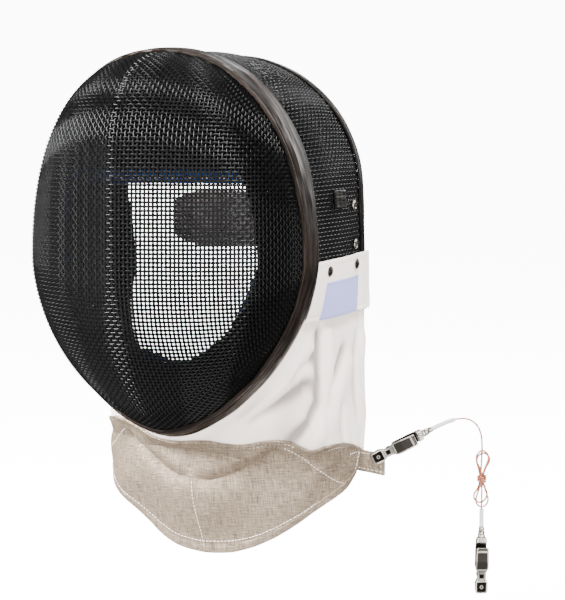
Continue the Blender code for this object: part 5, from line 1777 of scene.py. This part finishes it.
# ---- stage
VIEW_TURN, VIEW_RISE, VIEW_DISTANCE = radians(26), radians(5), 1.700
VIEW_TARGET = (0.0868, -0.0364, -0.1788)
VIEW_LENS, VIEW_FILM = 140.3, 36.0     # millimetres
LIGHTS = (  # place, side in metres, power in watts
    ("key_softbox", (-1.3, -1.7, 1.0), 0.8, 400.0),
    ("side_softbox", (-2.1, -0.2, -0.1), 0.6, 20.0),
    ("floor_bounce", (0.0, -0.5, -0.485), 2.6, 38.0),
    ("low_right_softbox", (1.4, -1.3, -0.40), 1.6, 66.0),
    ("right_softbox", (1.3, -0.5, 1.9), 0.6, 130.0),
    ("top_softbox", (-0.3, -0.6, 2.0), 0.7, 110.0),
    ("rear_softbox", (0.9, 1.8, 0.7), 1.2, 42.0),
    ("rear_high_softbox", (-0.25, 1.7, 1.1), 0.35, 12.0),
)
LIT_PLACE = Vector((0.03, 0.0, -0.18))
SURROUND = 0.22                        # light from all round
STAGE_REACH, FLOOR_BELOW, STAGE_GLOW = 14.0, 0.06, 11.0
STAGE_SIDES, STAGE_RINGS = 64, 11


class MASK_OT_stage(bpy.types.Operator):
    """Set the camera, the soft lights and the pale floor"""
    bl_idname = "mask.stage"
    bl_label = "Stage"

    def execute(self, context):
        self.camera(context)
        self.lights(context)
        self.floor()
        return {"FINISHED"}

    def camera(self, context):
        """The photograph's angle: from the mask's left front, a little above it."""
        data = bpy.data.cameras.new("camera")
        data.lens, data.sensor_width, data.sensor_fit = VIEW_LENS, VIEW_FILM, "HORIZONTAL"
        data.clip_start, data.clip_end = 0.05, 60.0
        camera = bpy.data.objects.new("camera", data)
        context.scene.collection.objects.link(camera)
        right = Vector((cos(VIEW_TURN), sin(VIEW_TURN), 0))
        back = Vector((sin(VIEW_TURN) * cos(VIEW_RISE), -cos(VIEW_TURN) * cos(VIEW_RISE),
                       sin(VIEW_RISE)))
        turn = Matrix((right, back.cross(right), back)).transposed().to_4x4()
        place = Vector(VIEW_TARGET) + back * VIEW_DISTANCE
        camera.matrix_world = Matrix.Translation(place) @ turn
        context.scene.camera = camera

    def lights(self, context):
        """Square softboxes turned to the mask, and an even light from all round."""
        for name, place, size, power in LIGHTS:
            data = bpy.data.lights.new(name, "AREA")
            data.shape, data.size, data.energy = "SQUARE", size, power
            light = bpy.data.objects.new(name, data)
            light.visible_camera = False
            context.scene.collection.objects.link(light)
            turn = (LIT_PLACE - Vector(place)).to_track_quat("-Z", "Y")
            light.matrix_world = Matrix.Translation(place) @ turn.to_matrix().to_4x4()
        world = bpy.data.worlds.new("studio_dim")
        context.scene.world = world
        world.use_nodes = True
        give(world.node_tree, world.node_tree.nodes["Background"], Color=(1, 1, 1, 1),
             Strength=SURROUND)

    def floor(self):
        """A pale floor and a white dome behind it, which light nothing themselves."""
        sides, last = STAGE_SIDES, STAGE_RINGS - 1
        turns = turns_of(sides)
        level = CAD_BOX[0][2] - FLOOR_BELOW
        rings = [[(STAGE_REACH * cos(t) * cos(r), STAGE_REACH * sin(t) * cos(r),
                   level + STAGE_REACH * sin(r)) for t in turns]
                 for r in np.linspace(0, pi / 2, STAGE_RINGS + 1)[:-1]]
        dome = sum(rings, []) + [(0, 0, level + STAGE_REACH)]
        bands = [(i*sides + j, i*sides + (j+1) % sides, (i+1)*sides + (j+1) % sides,
                  (i+1)*sides + j) for i in range(last) for j in range(sides)]
        bands += [(last*sides + j, last*sides + (j+1) % sides, len(dome) - 1)
                  for j in range(sides)]
        for name, points, faces in (("floor", rings[0], [tuple(range(sides))]),
                                    ("backdrop", dome, bands)):
            mesh = bpy.data.meshes.new(name)
            mesh.from_pydata(points, [], faces)
            # matt white paper that glows, so the ground is as pale as in a studio
            finish = start(f"matt_white_{name}", linear("#fbfbfb"), 0.9,
                           Emission_Color=(1, 1, 1, 1), Emission_Strength=STAGE_GLOW)[0]
            item = new_object(name, mesh, finish)
            item.visible_glossy = item.visible_diffuse = item.visible_transmission = False
            item.visible_shadow = False


# ---- panel and run
OPERATORS = (MASK_OT_stage, MASK_OT_wire_dome, MASK_OT_wire_crown, MASK_OT_trims,
             MASK_OT_pads, MASK_OT_bib, MASK_OT_side_tabs, MASK_OT_studs, MASK_OT_back_strap,
             MASK_OT_clips_and_cord)


class MASK_PT_workshop(bpy.types.Panel):
    """Lists what the mask is made of"""
    bl_idname = "MASK_PT_workshop"
    bl_label = "Foil mask"
    bl_space_type = "VIEW_3D"
    bl_region_type = "UI"
    bl_category = "Mask"

    def draw(self, context):
        for group in (context.scene.mask_sizes, context.scene.mask_colours):
            for name in group.__annotations__:
                self.layout.prop(group, name)
        for operator in OPERATORS:
            self.layout.operator(operator.bl_idname)


CLASSES = (MaskSizes, MaskColours, *OPERATORS, MASK_PT_workshop)


def register():
    """Add the classes, and the panel's values to the scene."""
    for kind in CLASSES:
        bpy.utils.register_class(kind)
    bpy.types.Scene.mask_sizes = PointerProperty(type=MaskSizes)
    bpy.types.Scene.mask_colours = PointerProperty(type=MaskColours)


def unregister():
    """Take the values and the classes away again."""
    del bpy.types.Scene.mask_colours
    del bpy.types.Scene.mask_sizes
    for kind in reversed(CLASSES):
        bpy.utils.unregister_class(kind)


def main():
    """Make the mask on its stage."""
    register()
    prepare_finishes()
    for tree in (wire_tree(), stitch_tree()):
        TREES[tree.name] = tree
    for operator in OPERATORS:
        group, name = operator.bl_idname.split(".")
        getattr(getattr(bpy.ops, group), name)()


if __name__ == "__main__":
    main()
